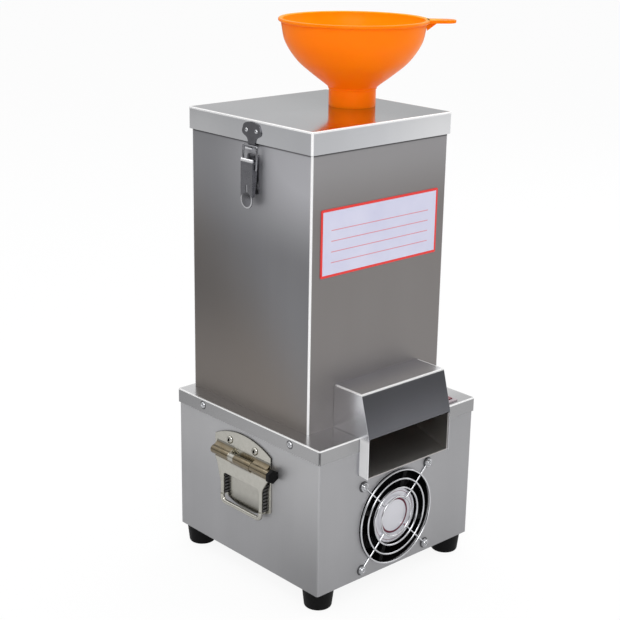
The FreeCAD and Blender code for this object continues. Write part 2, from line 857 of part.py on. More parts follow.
def chute_tray():
    """The sloping floor with its two side walls, from the mouth back to the drum."""
    front = lip_front + 1.5
    back = tower_setback
    step_y = hood_front + 2.0
    low_wall = lip_bottom - 2.0
    high_wall = hood_top - sheet - tray_gap
    outline = [(front, tray_height(front)), (back, tray_height(back)), (back, high_wall),
               (step_y, high_wall), (step_y, low_wall), (front, low_wall)]
    outer = slab_yz(outline, -tray_half, tray_half)
    lift = sheet * math.hypot(1.0, tray_slope)
    space = [(front - 5.0, tray_height(front - 5.0) + lift), (back + 5.0, tray_height(back + 5.0) + lift),
             (back + 5.0, high_wall + 5.0), (front - 5.0, high_wall + 5.0)]
    tray = outer.cut(slab_yz(space, -tray_half + sheet, tray_half - sheet))
    around_drum = rod(Vector(0, tower_setback, drum_floor - 50.0), Vector(0, tower_setback, lid_top),
                      drum_radius + tray_gap)
    behind = block(-chute_half, chute_half, tower_setback - 0.5, tower_setback + drum_radius,
                   foot_height, lid_top)
    return tray.cut([around_drum, behind])


# Fan

def fan_frame():
    y0 = fan_front
    y1 = fan_front + fan_depth
    half = fan_size / 2
    centre = Vector(fan_centre_x, 0, fan_z)

    def flange(low, high):
        plate = block(centre.x - half, centre.x + half, low, high, centre.z - half, centre.z + half)
        edges = [edge for edge in plate.Edges if abs(edge.Vertexes[0].Y - edge.Vertexes[1].Y) > 1]
        return plate.makeFillet(6.0, edges)

    barrel = rod(centre + Vector(0, y0, 0), centre + Vector(0, y1, 0), half - 0.2)
    frame = joined([flange(y0, y0 + fan_flange), flange(y1 - fan_flange, y1), barrel])
    frame = frame.cut(rod(centre + Vector(0, y0 - 1, 0), centre + Vector(0, y1 + 1, 0), fan_bore_radius))
    hub = rod(centre + Vector(0, y0, 0), centre + Vector(0, y0 + fan_hub_depth, 0), fan_hub_radius)
    struts = []
    for index in range(4):
        strut = block(0, fan_bore_radius + 0.5, y0 + 1.0, y0 + 4.5, -3.0, 3.0)
        strut.rotate(Vector(0, 0, 0), Vector(0, 1, 0), 20 + 90 * index)
        strut.translate(centre)
        struts.append(strut)
    frame = joined([frame, hub] + struts)
    axle_way = rod(centre + Vector(0, y0 + fan_hub_depth - 4.0, 0),
                   centre + Vector(0, y0 + fan_hub_depth + 1.0, 0), 2.5 + running_gap)
    holes = [rod(Vector(x, y0 - 1, z), Vector(x, y1 + 1, z), fan_screw_radius + running_gap)
             for x, z in fan_corners()]
    return frame.cut(holes + [axle_way])


def fan_impeller():
    """A hub with twisted blades, and the short axle that turns in the fan's own hub."""
    y0 = fan_front + fan_hub_depth + 0.6
    y1 = fan_front + fan_depth - 6.0
    middle = (y0 + y1) / 2
    hub = rod(Vector(0, y0, 0), Vector(0, y1, 0), fan_hub_radius - 1.0)
    axle = rod(Vector(0, y0 - 4.0, 0), Vector(0, y0, 0), 2.5)
    tip_radius = fan_bore_radius - fan_blade_gap

    def section(radius, chord, pitch, thick):
        lean = math.radians(pitch)
        along = Vector(0, math.sin(lean), math.cos(lean)) * (chord / 2)
        across = Vector(0, math.cos(lean), -math.sin(lean)) * (thick / 2)
        base = Vector(radius, middle, 0)
        return Part.makePolygon([base - along - across, base + along - across, base + along + across,
                                 base - along + across, base - along - across])

    blade = Part.makeLoft([section(fan_hub_radius - 4.0, 22.0, 48.0, 1.6),
                           section(tip_radius, 30.0, 30.0, 1.6)], True)
    blades = []
    for index in range(fan_blade_count):
        turned_blade = blade.copy()
        turned_blade.rotate(Vector(0, 0, 0), Vector(0, 1, 0), 360.0 * index / fan_blade_count)
        blades.append(turned_blade)
    wheel = joined([hub, axle] + blades)
    wheel = wheel.common(rod(Vector(0, y0 - 4.0, 0), Vector(0, y1, 0), tip_radius))
    wheel.translate(Vector(fan_centre_x, 0, fan_z))
    return wheel


def wire_ring(centre, radius):
    """A ring of eight-sided wire in an upright plane that faces the front."""
    corners = []
    for step in range(8):
        angle = math.radians(45 * step + 22.5)
        corners.append(centre + Vector(radius + guard_wire * math.cos(angle), guard_wire * math.sin(angle), 0))
    section = Part.Face(Part.makePolygon(corners + [corners[0]]))
    return section.revolve(centre, Vector(0, 1, 0), 360)


def fan_guard():
    """Chromed wire rings on four slanting struts, each with an eye under its screw."""
    centre = Vector(fan_centre_x, 0, fan_z)
    strut_y = -half_depth - guard_wire
    ring_y = strut_y - 1.6 * guard_wire
    pieces = []
    for index in range(guard_ring_count):
        radius = guard_ring_radius - index * guard_ring_pitch
        pieces.append(wire_ring(centre + Vector(0, ring_y, 0), radius))
    eye_radius = fan_screw_radius + guard_wire + 0.6
    inner_radius = guard_ring_radius - (guard_ring_count - 1) * guard_ring_pitch
    for x, z in fan_corners():
        corner = Vector(x, strut_y, z)
        inward = (Vector(centre.x, strut_y, centre.z) - corner).normalize()
        end = Vector(centre.x, strut_y, centre.z) - inward * (inner_radius - guard_wire)
        pieces.append(rod(corner + inward * eye_radius, end, guard_wire))
        pieces.append(wire_ring(corner, eye_radius))
    return joined(pieces)


def fan_washers():
    low = -half_depth - 2 * guard_wire
    return group([ring(Vector(x, low - 0.8, z), Vector(x, low, z), 5.2, fan_screw_radius + running_gap)
                  for x, z in fan_corners()])


def fan_screws():
    screws = []
    base_y = -half_depth - 2 * guard_wire - 0.8
    nut_y = fan_front + fan_flange
    depth = nut_y + fan_screw_radius * thread_end - base_y
    for x, z in fan_corners():
        screw = domed_screw(Vector(x, base_y, z), Vector(0, -1, 0), fan_screw_radius, depth)
        nut = rod(Vector(x, nut_y, z), Vector(x, nut_y + fan_screw_radius * bolt_nut_rise, z),
                  fan_screw_radius * bolt_nut)
        screws.append(joined([screw, nut]))
    return group(screws)


# Switch and gland

def switch_axis():
    return Vector(switch_x, switch_y, cover_top + 0.5)


def switch_bezel():
    half_w = switch_width / 2
    half_l = switch_length / 2
    lip = block(switch_x - half_w - switch_lip, switch_x + half_w + switch_lip,
                switch_y - half_l - switch_lip, switch_y + half_l + switch_lip, cover_top, cover_top + 2.2)
    rim = [edge for edge in lip.Edges if min(vertex.Z for vertex in edge.Vertexes) > cover_top + 2.1]
    lip = lip.makeFillet(1.0, rim)
    body = block(switch_x - half_w + 0.1, switch_x + half_w - 0.1, switch_y - half_l + 0.1,
                 switch_y + half_l - 0.1, cover_top - switch_depth, cover_top)
    wall = 1.6
    space = block(switch_x - half_w + wall, switch_x + half_w - wall, switch_y - half_l + wall,
                  switch_y + half_l - wall, cover_top - 9.0, cover_top + 5.0)
    axis = switch_axis()
    bearing = rod(axis - Vector(half_w + switch_lip - 1.0, 0, 0), axis + Vector(half_w + switch_lip - 1.0, 0, 0),
                  1.0 + running_gap)
    pins = [block(switch_x + s - 3.0, switch_x + s + 3.0, switch_y - 0.5, switch_y + 0.5,
                  cover_top - switch_depth - 8.0, cover_top - switch_depth) for s in (-5.0, 5.0)]
    return joined([lip, body] + pins).cut([space, bearing])


def switch_rocker():
    """A rocker with a shallow valley on top, at rest with its front end pressed down."""
    wall = 1.6
    half_w = switch_width / 2 - wall - rocker_gap
    half_l = switch_length / 2 - wall - 1.0
    axis = switch_axis()
    outline = [(-half_l, -1.0), (-half_l, 5.2), (0, 3.2), (half_l, 5.2), (half_l, -1.0),
               (half_l * 0.45, -4.0), (-half_l * 0.45, -4.0)]
    rocker = slab_yz(outline, -half_w, half_w)
    stub = half_w + rocker_gap + 1.0
    rocker = joined([rocker, rod(Vector(-stub, 0, 0), Vector(stub, 0, 0), 1.0)])
    rocker.rotate(Vector(0, 0, 0), Vector(1, 0, 0), rocker_tilt)
    rocker.translate(axis)
    return rocker


def cord_gland():
    """The nylon gland that a mains cord would pass through, in the back wall."""
    z = foot_height + gland_height
    y = half_depth

    def hexagon(y0, y1, radius):
        corners = [Vector(gland_x + radius * math.cos(math.radians(60 * k)), y0,
                          z + radius * math.sin(math.radians(60 * k))) for k in range(6)]
        return slab(corners, Vector(0, y1 - y0, 0))

    thread = rod(Vector(gland_x, y - sheet - 9.0, z), Vector(gland_x, y + 2.0, z), gland_radius)
    outer_nut = hexagon(y, y + gland_nut, gland_radius + 5.0)
    dome = Part.makeCone(gland_radius + 3.0, gland_bore + 2.5, gland_dome, Vector(gland_x, y + gland_nut, z),
                         Vector(0, 1, 0))
    lock_nut = hexagon(y - sheet - 5.0, y - sheet, gland_radius + 4.0)
    bore = rod(Vector(gland_x, y - 20.0, z), Vector(gland_x, y + 20.0, z), gland_bore)
    return joined([thread, outer_nut, dome, lock_nut]).cut(bore)


# Funnel

def bowl_curve(inset):
    """The bowl's side, from the spout up to the rim, as arcs that run smoothly into each other."""
    shares = [(0.0, 0.0), (0.39, 0.233), (0.684, 0.44), (0.917, 0.72), (1.0, 1.0)]
    points = []
    for out, up in shares:
        radius = spout_radius + (bowl_radius - spout_radius) * out - inset
        height = lid_top + spout_height + bowl_height * up + inset * 0.5 * (1 - up)
        points.append(Vector(radius, 0, height))
    curve = Part.BSplineCurve()
    curve.interpolate(points)
    arcs = [arc.toShape() for arc in curve.toBiArcs(bowl_tolerance)]
    return arcs, points[0], points[-1]


def feed_funnel():
    outer_arcs, outer_low, outer_high = bowl_curve(0.0)
    inner_arcs, inner_low, inner_high = bowl_curve(spout_wall)
    rim_top = lid_top + spout_height + bowl_height + rim_height
    rim_low = rim_top - tab_thickness
    plug_low = lid_top - spout_plug_length
    plug_inner = spout_plug_radius - spout_wall

    def lines(points):
        return [Part.makeLine(Vector(a[0], 0, a[1]), Vector(b[0], 0, b[1])) for a, b in zip(points, points[1:])]

    spout = [(plug_inner, plug_low), (spout_plug_radius, plug_low), (spout_plug_radius, lid_top),
             (spout_radius, lid_top), (outer_low.x, outer_low.z)]
    rim = [(outer_high.x, outer_high.z), (bowl_radius, rim_low), (bowl_radius + rim_width, rim_low),
           (bowl_radius + rim_width, rim_top), (bowl_radius - spout_wall, rim_top),
           (inner_high.x, inner_high.z)]
    back = [(inner_low.x, inner_low.z), (plug_inner, lid_top), (plug_inner, plug_low)]
    edges = lines(spout) + outer_arcs + lines(rim) + inner_arcs + lines(back)
    face = Part.Face(Part.Wire(Part.__sortEdges__(edges)))
    funnel = face.revolve(Vector(0, 0, 0), Vector(0, 0, 1), 360)
    funnel = joined([funnel, funnel_tab(rim_low, rim_top)])
    funnel.rotate(Vector(0, 0, 0), Vector(0, 0, 1), tab_angle)
    funnel.translate(Vector(funnel_x, funnel_y, 0))
    return funnel


def funnel_tab(low, high):
    """The flat finger tab, with a rounded end and a rib below it."""
    start = bowl_radius - spout_wall * 0.5
    end = bowl_radius + rim_width + tab_reach
    nose = tab_width / 2 * 0.8
    bar = slab([Vector(start, -tab_width / 2, low), Vector(end - nose, -nose, low),
                Vector(end - nose, nose, low), Vector(start, tab_width / 2, low)], Vector(0, 0, high - low))
    tip = rod(Vector(end - nose, 0, low), Vector(end - nose, 0, high), nose)
    rib = slab([Vector(bowl_radius - 1.0, -1.2, low), Vector(bowl_radius + 12.0, -1.2, low),
                Vector(bowl_radius - 1.0, -1.2, low - 9.0)], Vector(0, 2.4, 0))
    return joined([bar, tip, rib])


# Latches, drawn on the left side of the tower and mirrored to the right

def out(reach):
    """The X place at a distance out from the tower's left side."""
    return side_x - reach


def latch_base():
    half = latch_base_width / 2
    low = latch_pivot_z + 8.0 - latch_base_height
    plate = block(out(keeper_sheet), out(0), latch_y - half, latch_y + half, low, latch_pivot_z + 8.0)
    edges = [edge for edge in plate.Edges if abs(edge.Vertexes[0].X - edge.Vertexes[1].X) > 0.5]
    plate = plate.makeFillet(3.0, edges)
    ears = []
    for side in (-1, 1):
        inner = latch_ear_half - latch_sheet
        y0 = latch_y + min(side * inner, side * latch_ear_half)
        y1 = latch_y + max(side * inner, side * latch_ear_half)
        ear = block(out(latch_pivot_reach), out(0), y0, y1, latch_pivot_z - latch_eye_radius,
                    latch_pivot_z + latch_eye_radius)
        eye = rod(Vector(out(latch_pivot_reach), y0, latch_pivot_z),
                  Vector(out(latch_pivot_reach), y1, latch_pivot_z), latch_eye_radius)
        ears += [ear, eye]
    base = joined([plate] + ears)
    return base.cut(latch_pin_bore())


def latch_pin_bore():
    half = latch_ear_half + latch_side_gap + latch_sheet + 1.0
    return rod(Vector(out(latch_pivot_reach), latch_y - half, latch_pivot_z),
               Vector(out(latch_pivot_reach), latch_y + half, latch_pivot_z),
               latch_pin_radius + running_gap)


def latch_pin():
    half = latch_ear_half + latch_side_gap + latch_sheet
    return rod(Vector(out(latch_pivot_reach), latch_y - half, latch_pivot_z),
               Vector(out(latch_pivot_reach), latch_y + half, latch_pivot_z), latch_pin_radius)


def latch_lever():
    """A folded channel with a curled finger end, hanging down from its pin."""
    outer_half = latch_ear_half + latch_side_gap + latch_sheet
    inner_half = outer_half - latch_sheet
    web = latch_pivot_reach + latch_eye_radius + latch_side_gap + latch_sheet
    top = latch_pivot_z + web - latch_pivot_reach
    low = latch_pivot_z - lever_length + lever_tab_length
    side = [(out(web - lever_depth + 1.6), top - 1.6), (out(web - lever_depth), top - 4.2),
            (out(web - lever_depth), latch_pivot_z - 14.0), (out(web - 3.5), low), (out(web), low),
            (out(web), top - 1.2), (out(web - 1.2), top)]
    outline = [Vector(x, latch_y - outer_half, z) for x, z in side]
    channel = slab(outline, Vector(0, 2 * outer_half, 0))
    space = block(out(web - latch_sheet), out(-1.0), latch_y - inner_half, latch_y + inner_half,
                  low - 1, top + 1)
    channel = channel.cut(space)
    tab_low = latch_pivot_z - lever_length
    nose = outer_half
    tab = block(out(web), out(web - latch_sheet), latch_y - outer_half, latch_y + outer_half,
                tab_low + nose, low)
    tip = rod(Vector(out(web), latch_y, tab_low + nose), Vector(out(web - latch_sheet), latch_y, tab_low + nose),
              nose)
    slot = block(out(web + 1), out(web - latch_sheet - 1), latch_y - 1.8, latch_y + 1.8, low + 1.0, low + 13.0)
    lever = joined([channel, tab, tip]).cut([slot, latch_pin_bore(), bail_bore()])
    return lever


def bail_pivot():
    return out(latch_pivot_reach - bail_pivot_inset)


def bail_bore():
    half = latch_base_width
    return rod(Vector(bail_pivot(), latch_y - half, bail_pivot_z),
               Vector(bail_pivot(), latch_y + half, bail_pivot_z), bail_wire + running_gap)


def latch_bail():
    """A bent wire loop: two legs from the lever up to a bar that sits in the keeper."""
    leg = latch_ear_half + 2 * latch_side_gap + latch_sheet + bail_wire
    stub = latch_ear_half + latch_side_gap + 0.05
    bend = 3.0
    low_x = bail_pivot()
    high_x = out(bail_bar_reach)
    lean = (high_x - low_x) / (bail_bar_z - bail_pivot_z)
    corner_z = bail_bar_z - bend
    corner_x = high_x - lean * bend
    pieces = []
    for side in (-1, 1):
        y = latch_y + side * leg
        foot = Vector(low_x, y, bail_pivot_z)
        pieces.append(rod(Vector(low_x, latch_y + side * stub, bail_pivot_z), foot, bail_wire))
        pieces.append(Part.makeSphere(bail_wire, foot))
        pieces.append(rod(foot, Vector(corner_x, y, corner_z), bail_wire))
        pieces.append(Part.makeSphere(bail_wire, Vector(corner_x, y, corner_z)))
        shoulder = Vector(high_x, y - side * bend, bail_bar_z)
        pieces.append(rod(Vector(corner_x, y, corner_z), shoulder, bail_wire))
        pieces.append(Part.makeSphere(bail_wire, shoulder))
    pieces.append(rod(Vector(high_x, latch_y - leg + bend, bail_bar_z),
                      Vector(high_x, latch_y + leg - bend, bail_bar_z), bail_wire))
    return joined(pieces)


def keeper_holes():
    z = lid_top - 12.0
    return [(latch_y + offset, z) for offset in (-keeper_width / 4, keeper_width / 4)]


def latch_keeper():
    """A waisted plate on the lid's flange, with a small shelf that the bail's bar sits over."""
    face = lid_gap + sheet
    half = keeper_width / 2
    neck = keeper_neck / 2
    head_z = lid_top - 11.0
    shelf_top = bail_bar_z - bail_wire - 0.6
    shelf_low = shelf_top - keeper_sheet

    def at(y, z):
        return Vector(out(face), latch_y + y, z)

    crown = Part.Arc(at(-half, head_z), at(0, lid_top - 3.0), at(half, head_z)).toShape()
    right_round = Part.Arc(at(half, head_z), at(half * 0.82, head_z - 6.0), at(neck, head_z - 13.0)).toShape()
    left_round = Part.Arc(at(-neck, head_z - 13.0), at(-half * 0.82, head_z - 6.0), at(-half, head_z)).toShape()
    right_side = Part.makeLine(at(neck, head_z - 13.0), at(neck, shelf_low))
    foot = Part.makeLine(at(neck, shelf_low), at(-neck, shelf_low))
    left_side = Part.makeLine(at(-neck, shelf_low), at(-neck, head_z - 13.0))
    outline = Part.Wire([crown, right_round, right_side, foot, left_side, left_round])
    plate = Part.Face(outline).extrude(Vector(-keeper_sheet, 0, 0))
    shelf = block(out(bail_bar_reach + bail_wire + 1.6), out(face), latch_y - neck, latch_y + neck,
                  shelf_low, shelf_top)
    lip_x = out(bail_bar_reach + bail_wire + 1.0)
    lip = rod(Vector(lip_x, latch_y - neck, shelf_top - 0.2), Vector(lip_x, latch_y + neck, shelf_top - 0.2), 0.6)
    holes = [rod(Vector(out(face + 5), y, z), Vector(out(face - 1), y, z), rivet_radius * 0.6 + running_gap)
             for y, z in keeper_holes()]
    return joined([plate, shelf, lip]).cut(holes)


def rivet(base, depth):
    outward = Vector(-1, 0, 0)
    head = domed_head(base, outward, rivet_radius, rivet_radius * 0.58)
    return head.fuse(rod(base - outward * depth, base, rivet_radius * 0.6))


def keeper_rivets():
    face = lid_gap + sheet
    left = [rivet(Vector(out(face + keeper_sheet), y, z), keeper_sheet + sheet) for y, z in keeper_holes()]
    return group(left + [mirrored(one) for one in left])


def latch_rivet_places():
    low = latch_pivot_z + 8.0 - latch_base_height
    return [(latch_y, low + 6.0), (latch_y, low + 18.0)]


def latch_rivets():
    left = [rivet(Vector(out(keeper_sheet), y, z), keeper_sheet + sheet) for y, z in latch_rivet_places()]
    return group(left + [mirrored(one) for one in left])


def with_rivet_holes(shape):
    holes = [rod(Vector(out(keeper_sheet + 5), y, z), Vector(out(-sheet - 1), y, z),
                 rivet_radius * 0.6 + running_gap) for y, z in latch_rivet_places()]
    return shape.cut(holes + [mirrored(hole) for hole in holes])


def with_keeper_holes(shape):
    face = lid_gap + sheet
    holes = [rod(Vector(out(face + 5), y, z), Vector(out(face - sheet - 0.5), y, z),
                 rivet_radius * 0.6 + running_gap) for y, z in keeper_holes()]
    return shape.cut(holes + [mirrored(hole) for hole in holes])


# Side handles, drawn on the left side of the cabinet and mirrored to the right

def wall(reach):
    """The X place at a distance out from the cabinet's left side."""
    return -half_width - reach


def barrel(y0, y1, radius):
    return rod(Vector(handle_axis_x, y0, handle_axis_z), Vector(handle_axis_x, y1, handle_axis_z), radius)


def outer_knuckles():
    """The front and back ends of the barrel's two outer lengths, which the plate carries."""
    half_barrel = handle_barrel_length / 2
    half_knuckle = handle_knuckle_length / 2
    return [(handle_barrel_y - half_barrel, handle_barrel_y - half_knuckle),
            (handle_barrel_y + half_knuckle, handle_barrel_y + half_barrel)]


def handle_plate():
    """An arched plate that turns over into the barrel's two outer lengths."""
    half = handle_plate_width / 2
    shoulder = handle_top - handle_plate_rise
    bottom = handle_top - handle_plate_height
    heel = bottom + handle_plate_rise

    def at(y, z):
        return Vector(wall(0), handle_centre_y + y, z)

    crown = Part.Arc(at(-half, shoulder), at(0, handle_top), at(half, shoulder)).toShape()
    front_side = Part.makeLine(at(half, shoulder), at(half, heel))
    sole = Part.Arc(at(half, heel), at(0, bottom), at(-half, heel)).toShape()
    back_side = Part.makeLine(at(-half, heel), at(-half, shoulder))
    plate = Part.Face(Part.Wire([crown, front_side, sole, back_side])).extrude(Vector(-handle_plate_sheet, 0, 0))
    pieces = [plate]
    for front, back in outer_knuckles():
        pieces.append(barrel(front, back, handle_barrel_radius))
        pieces.append(block(handle_axis_x, wall(0), max(front, handle_centre_y - half),
                            min(back, handle_centre_y + half), handle_axis_z, handle_axis_z + handle_barrel_radius))
    bore = barrel(handle_barrel_y - handle_barrel_length, handle_barrel_y + handle_barrel_length,
                  handle_pin_radius + running_gap)
    holes = [rod(Vector(wall(10), y, z), Vector(wall(-1), y, z), handle_screw_radius + running_gap)
             for y, z in handle_screw_places()]
    return joined(pieces).cut([bore] + holes)


def handle_screws():
    left = [domed_screw(Vector(wall(handle_plate_sheet), y, z), Vector(-1, 0, 0), handle_screw_radius,
                        cover_screw_length) for y, z in handle_screw_places()]
    return group(left + [mirrored(screw) for screw in left])


def handle_cap_face():
    """The Y place of the cap's back, a gap in front of the barrel."""
    return handle_barrel_y - handle_barrel_length / 2 - handle_knuckle_gap


def handle_pin():
    return barrel(handle_cap_face() - handle_cap_length + 2.0, handle_barrel_y + handle_barrel_length / 2,
                  handle_pin_radius)


def handle_cap():
    """A black six-sided cap on the front end of the handle's pin."""
    front = handle_cap_face()
    corners = [Vector(handle_axis_x + handle_cap_radius * math.cos(math.radians(60 * k + 30)), front,
                      handle_axis_z + handle_cap_radius * math.sin(math.radians(60 * k + 30))) for k in range(6)]
    cap = slab(corners, Vector(0, -handle_cap_length, 0))
    bore = barrel(front - handle_cap_length + 2.0, front + 1.0, handle_pin_radius + running_gap)
    return cap.cut(bore)


def grip_face(reach):
    """The X place at a distance out from the middle of the grip's sheet, which hangs under the pin."""
    return handle_axis_x - reach


def handle_buffers():
    """Two rubber strips on the plate, which the grip's legs come to rest against."""
    low = handle_axis_z - grip_length + buffer_start
    high = handle_axis_z - buffer_end
    strips = []
    for side in (-1, 1):
        centre = handle_barrel_y + side * (grip_width - grip_leg) / 2
        strips.append(block(grip_face(-grip_sheet / 2 - grip_rest), wall(handle_plate_sheet),
                            centre - grip_leg / 2, centre + grip_leg / 2, low, high))
    return group(strips)


def handle_grip():
    """A pressed grip: the barrel's middle length, a web that narrows to two legs, and a round bar."""
    half_knuckle = handle_knuckle_length / 2 - handle_knuckle_gap
    half_shoulder = handle_barrel_length / 2 - grip_shoulder
    half_grip = grip_width / 2
    web_top = handle_axis_z - handle_barrel_radius - handle_knuckle_gap
    web_low = handle_axis_z - grip_web
    bar_z = handle_axis_z - grip_length
    right_side = [(half_knuckle, handle_axis_z), (half_knuckle, web_top), (half_shoulder, web_top),
                  (half_grip, web_low), (half_grip, bar_z)]
    outline = right_side + [(-y, z) for y, z in reversed(right_side)]
    leaf = slab([Vector(grip_face(-grip_sheet / 2), handle_barrel_y + y, z) for y, z in outline],
                Vector(-grip_sheet, 0, 0))
    window = block(grip_face(grip_sheet), grip_face(-grip_sheet), handle_barrel_y - half_grip + grip_leg,
                   handle_barrel_y + half_grip - grip_leg, bar_z, web_low)
    edges = [edge for edge in window.Edges if abs(edge.Vertexes[0].X - edge.Vertexes[1].X) > 1]
    window = window.makeFillet(grip_leg, edges)
    bar = rod(Vector(grip_face(0), handle_barrel_y - half_grip, bar_z),
              Vector(grip_face(0), handle_barrel_y + half_grip, bar_z), grip_bar_radius)
    knuckle = barrel(handle_barrel_y - half_knuckle, handle_barrel_y + half_knuckle, handle_barrel_radius)
    bore = barrel(handle_barrel_y - handle_barrel_length, handle_barrel_y + handle_barrel_length,
                  handle_pin_radius + running_gap)
    return joined([leaf.cut(window), bar, knuckle]).cut(bore)


def main():
    os.makedirs("parts", exist_ok=True)
    save("base_cabinet", base_cabinet())
    save("base_floor", base_floor())
    save("base_cover", base_cover())
    save("cover_screws", cover_screws())
    save("rubber_feet", rubber_feet())
    save("foot_screws", foot_screws())
    save("tower_shell", with_rivet_holes(tower_shell()))
    save("tower_bolts", tower_bolts())
    save("rating_plate", rating_plate())
    save("tower_lid", with_keeper_holes(tower_lid()))
    save("lid_seal", lid_seal())
    save("peeling_drum", peeling_drum())
    save("drum_liner", drum_liner())
    save("drum_bolts", drum_bolts())
    save("shaft_seal", shaft_seal())
    save("motor_shaft", motor_shaft())
    save("peeling_disc", peeling_disc())
    save("disc_ribs", disc_ribs())
    save("disc_nut", disc_nut())
    save("motor_plate", motor_plate())
    save("motor_top_cap", motor_top_cap())
    save("motor_bottom_cap", motor_bottom_cap())
    save("motor_stator", motor_stator())
    save("motor_rotor", motor_rotor())
    save("motor_bearings", motor_bearings())
    save("motor_bolts", motor_bolts())
    save("motor_capacitor", motor_capacitor())
    save("capacitor_clamp", capacitor_clamp())
    save("chute_hood", chute_hood())
    save("chute_tray", chute_tray())
    save("fan_frame", fan_frame())
    save("fan_impeller", fan_impeller())
    save("fan_guard", fan_guard())
    save("fan_washers", fan_washers())
    save("fan_screws", fan_screws())
    save("switch_bezel", switch_bezel())
    save("switch_rocker", switch_rocker())
    save("cord_gland", cord_gland())
    save("feed_funnel", feed_funnel())
    save("keeper_rivets", keeper_rivets())
    save("latch_rivets", latch_rivets())
    save("handle_screws", handle_screws())
    save("latch_pins", both_sides(latch_pin()))
    save("handle_caps", both_sides(handle_cap()))
    save("handle_buffers", both_sides(handle_buffers()))
    paired = {
        "latch_keeper": latch_keeper(),
        "latch_base": with_rivet_holes(latch_base()),
        "latch_lever": latch_lever(),
        "latch_bail": latch_bail(),
        "handle_plate": handle_plate(),
        "handle_pin": handle_pin(),
        "handle_grip": handle_grip(),
    }
    for name, shape in paired.items():
        save(name + "_left", shape)
        save(name + "_right", mirrored(shape))


main()
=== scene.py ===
# %% [markdown]
# Garlic peeling machine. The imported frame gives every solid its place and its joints. This file
# dresses that frame: it keeps the frame's sizes, gives each piece soft edges and a finish of its
# own, and models again the pieces where a plain solid looks too plain, such as the funnel, the
# screws and the wire guard. Lengths are typed in millimetres, because that is how the machine is
# measured, and each mesh is brought down to metres at the very end.

# %% Load the frame
import json
import math
import bmesh
import bpy
from mathutils import Matrix, Vector

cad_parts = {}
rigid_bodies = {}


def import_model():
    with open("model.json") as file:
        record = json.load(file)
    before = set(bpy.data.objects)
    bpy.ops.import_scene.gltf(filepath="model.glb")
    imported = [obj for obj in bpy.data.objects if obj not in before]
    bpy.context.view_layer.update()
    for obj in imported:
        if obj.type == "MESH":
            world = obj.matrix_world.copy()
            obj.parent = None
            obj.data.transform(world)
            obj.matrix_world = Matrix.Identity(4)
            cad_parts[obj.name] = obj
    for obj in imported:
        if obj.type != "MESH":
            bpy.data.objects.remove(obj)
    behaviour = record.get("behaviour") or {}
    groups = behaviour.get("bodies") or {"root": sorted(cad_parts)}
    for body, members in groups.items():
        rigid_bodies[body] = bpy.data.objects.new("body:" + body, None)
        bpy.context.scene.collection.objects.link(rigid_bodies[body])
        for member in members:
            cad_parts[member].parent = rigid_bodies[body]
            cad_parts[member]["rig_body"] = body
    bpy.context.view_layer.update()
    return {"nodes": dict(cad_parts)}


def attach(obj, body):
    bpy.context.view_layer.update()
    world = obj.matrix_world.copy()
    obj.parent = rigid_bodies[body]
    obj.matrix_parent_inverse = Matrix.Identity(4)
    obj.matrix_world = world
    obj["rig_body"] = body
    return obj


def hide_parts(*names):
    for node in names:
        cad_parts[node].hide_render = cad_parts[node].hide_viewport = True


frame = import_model()
nodes = frame["nodes"]

# %% [markdown]
# Some measures are shared by the finishes and the shapes, such as where the fan, the tower and the
# latches lie. They stand here once, in millimetres. The origin is on the ground under the middle of
# the cabinet, x runs to the machine's right side, y to its back and z up.

# %% Shared measures
MM = 0.001
FAN_MIDDLE = (-4.0, 86.0)
FAN_SCREW_REACH = 52.4
COVER_HALF = 126.5
COVER_TOP = 201.0
COVER_SCREW = (77.5, 193.5)
TOWER_Y = 19.0
TOWER_HALF = (105.0, 102.5)
LID_HALF = (107.5, 105.0)
LID_TOP = 541.0
HOOD_HALF = 66.6
HOOD_TOP = 252.5
HOOD_FRONT = -128.0
PLATE_MIDDLE = 417.0
LATCH_Y = 11.0
FINGER_Z = 453.2
HANDLE_Y = 4.0
HANDLE_SCREW = (22.5, 166.0)
BARREL_Y = -1.0
FUNNEL_AXIS = (48.0, 16.5)
print("the lid's top is", LID_TOP * MM, "m above the ground")

# %% [markdown]
# The camera stands in front and to the left of the machine, a little above its middle. Its place
# was solved from the corners of the cabinet, tower and lid, so that the render can be laid over
# the photograph. A long lens from nearly two metres away keeps the upright edges nearly parallel.

# %% Camera
CAMERA_PLACE = (-1.0565, -1.1188, 0.7972)
CAMERA_TURN = math.radians(-42.593)
CAMERA_LIFT = math.radians(17.742)
CAMERA_ROLL = math.radians(0.927)
CAMERA_LENS = 79.43


def place_camera():
    away = Vector((math.sin(CAMERA_TURN) * math.cos(CAMERA_LIFT),
                   -math.cos(CAMERA_TURN) * math.cos(CAMERA_LIFT), math.sin(CAMERA_LIFT)))
    level = Vector((math.cos(CAMERA_TURN), math.sin(CAMERA_TURN), 0))
    upright = away.cross(level)
    right = level * math.cos(CAMERA_ROLL) + upright * math.sin(CAMERA_ROLL)
    up = upright * math.cos(CAMERA_ROLL) - level * math.sin(CAMERA_ROLL)
    camera = bpy.data.objects.new("camera", bpy.data.cameras.new("camera"))
    camera.data.lens = CAMERA_LENS
    camera.data.sensor_width = 36.0
    camera.matrix_world = Matrix((right, up, away)).transposed().to_4x4()
    camera.location = CAMERA_PLACE
    bpy.context.scene.collection.objects.link(camera)
    bpy.context.scene.camera = camera
    return camera


bpy.context.scene.view_settings.view_transform = "Standard"
print("camera at", tuple(place_camera().location))

# %% [markdown]
# Node trees are long to write out one by one, so two small helpers do it. `Number` wraps a socket
# and lets plain arithmetic add the Math nodes, and `Tree.add` makes any other node: its settings
# first, then the values or links of its sockets. Both work for shaders and for geometry.

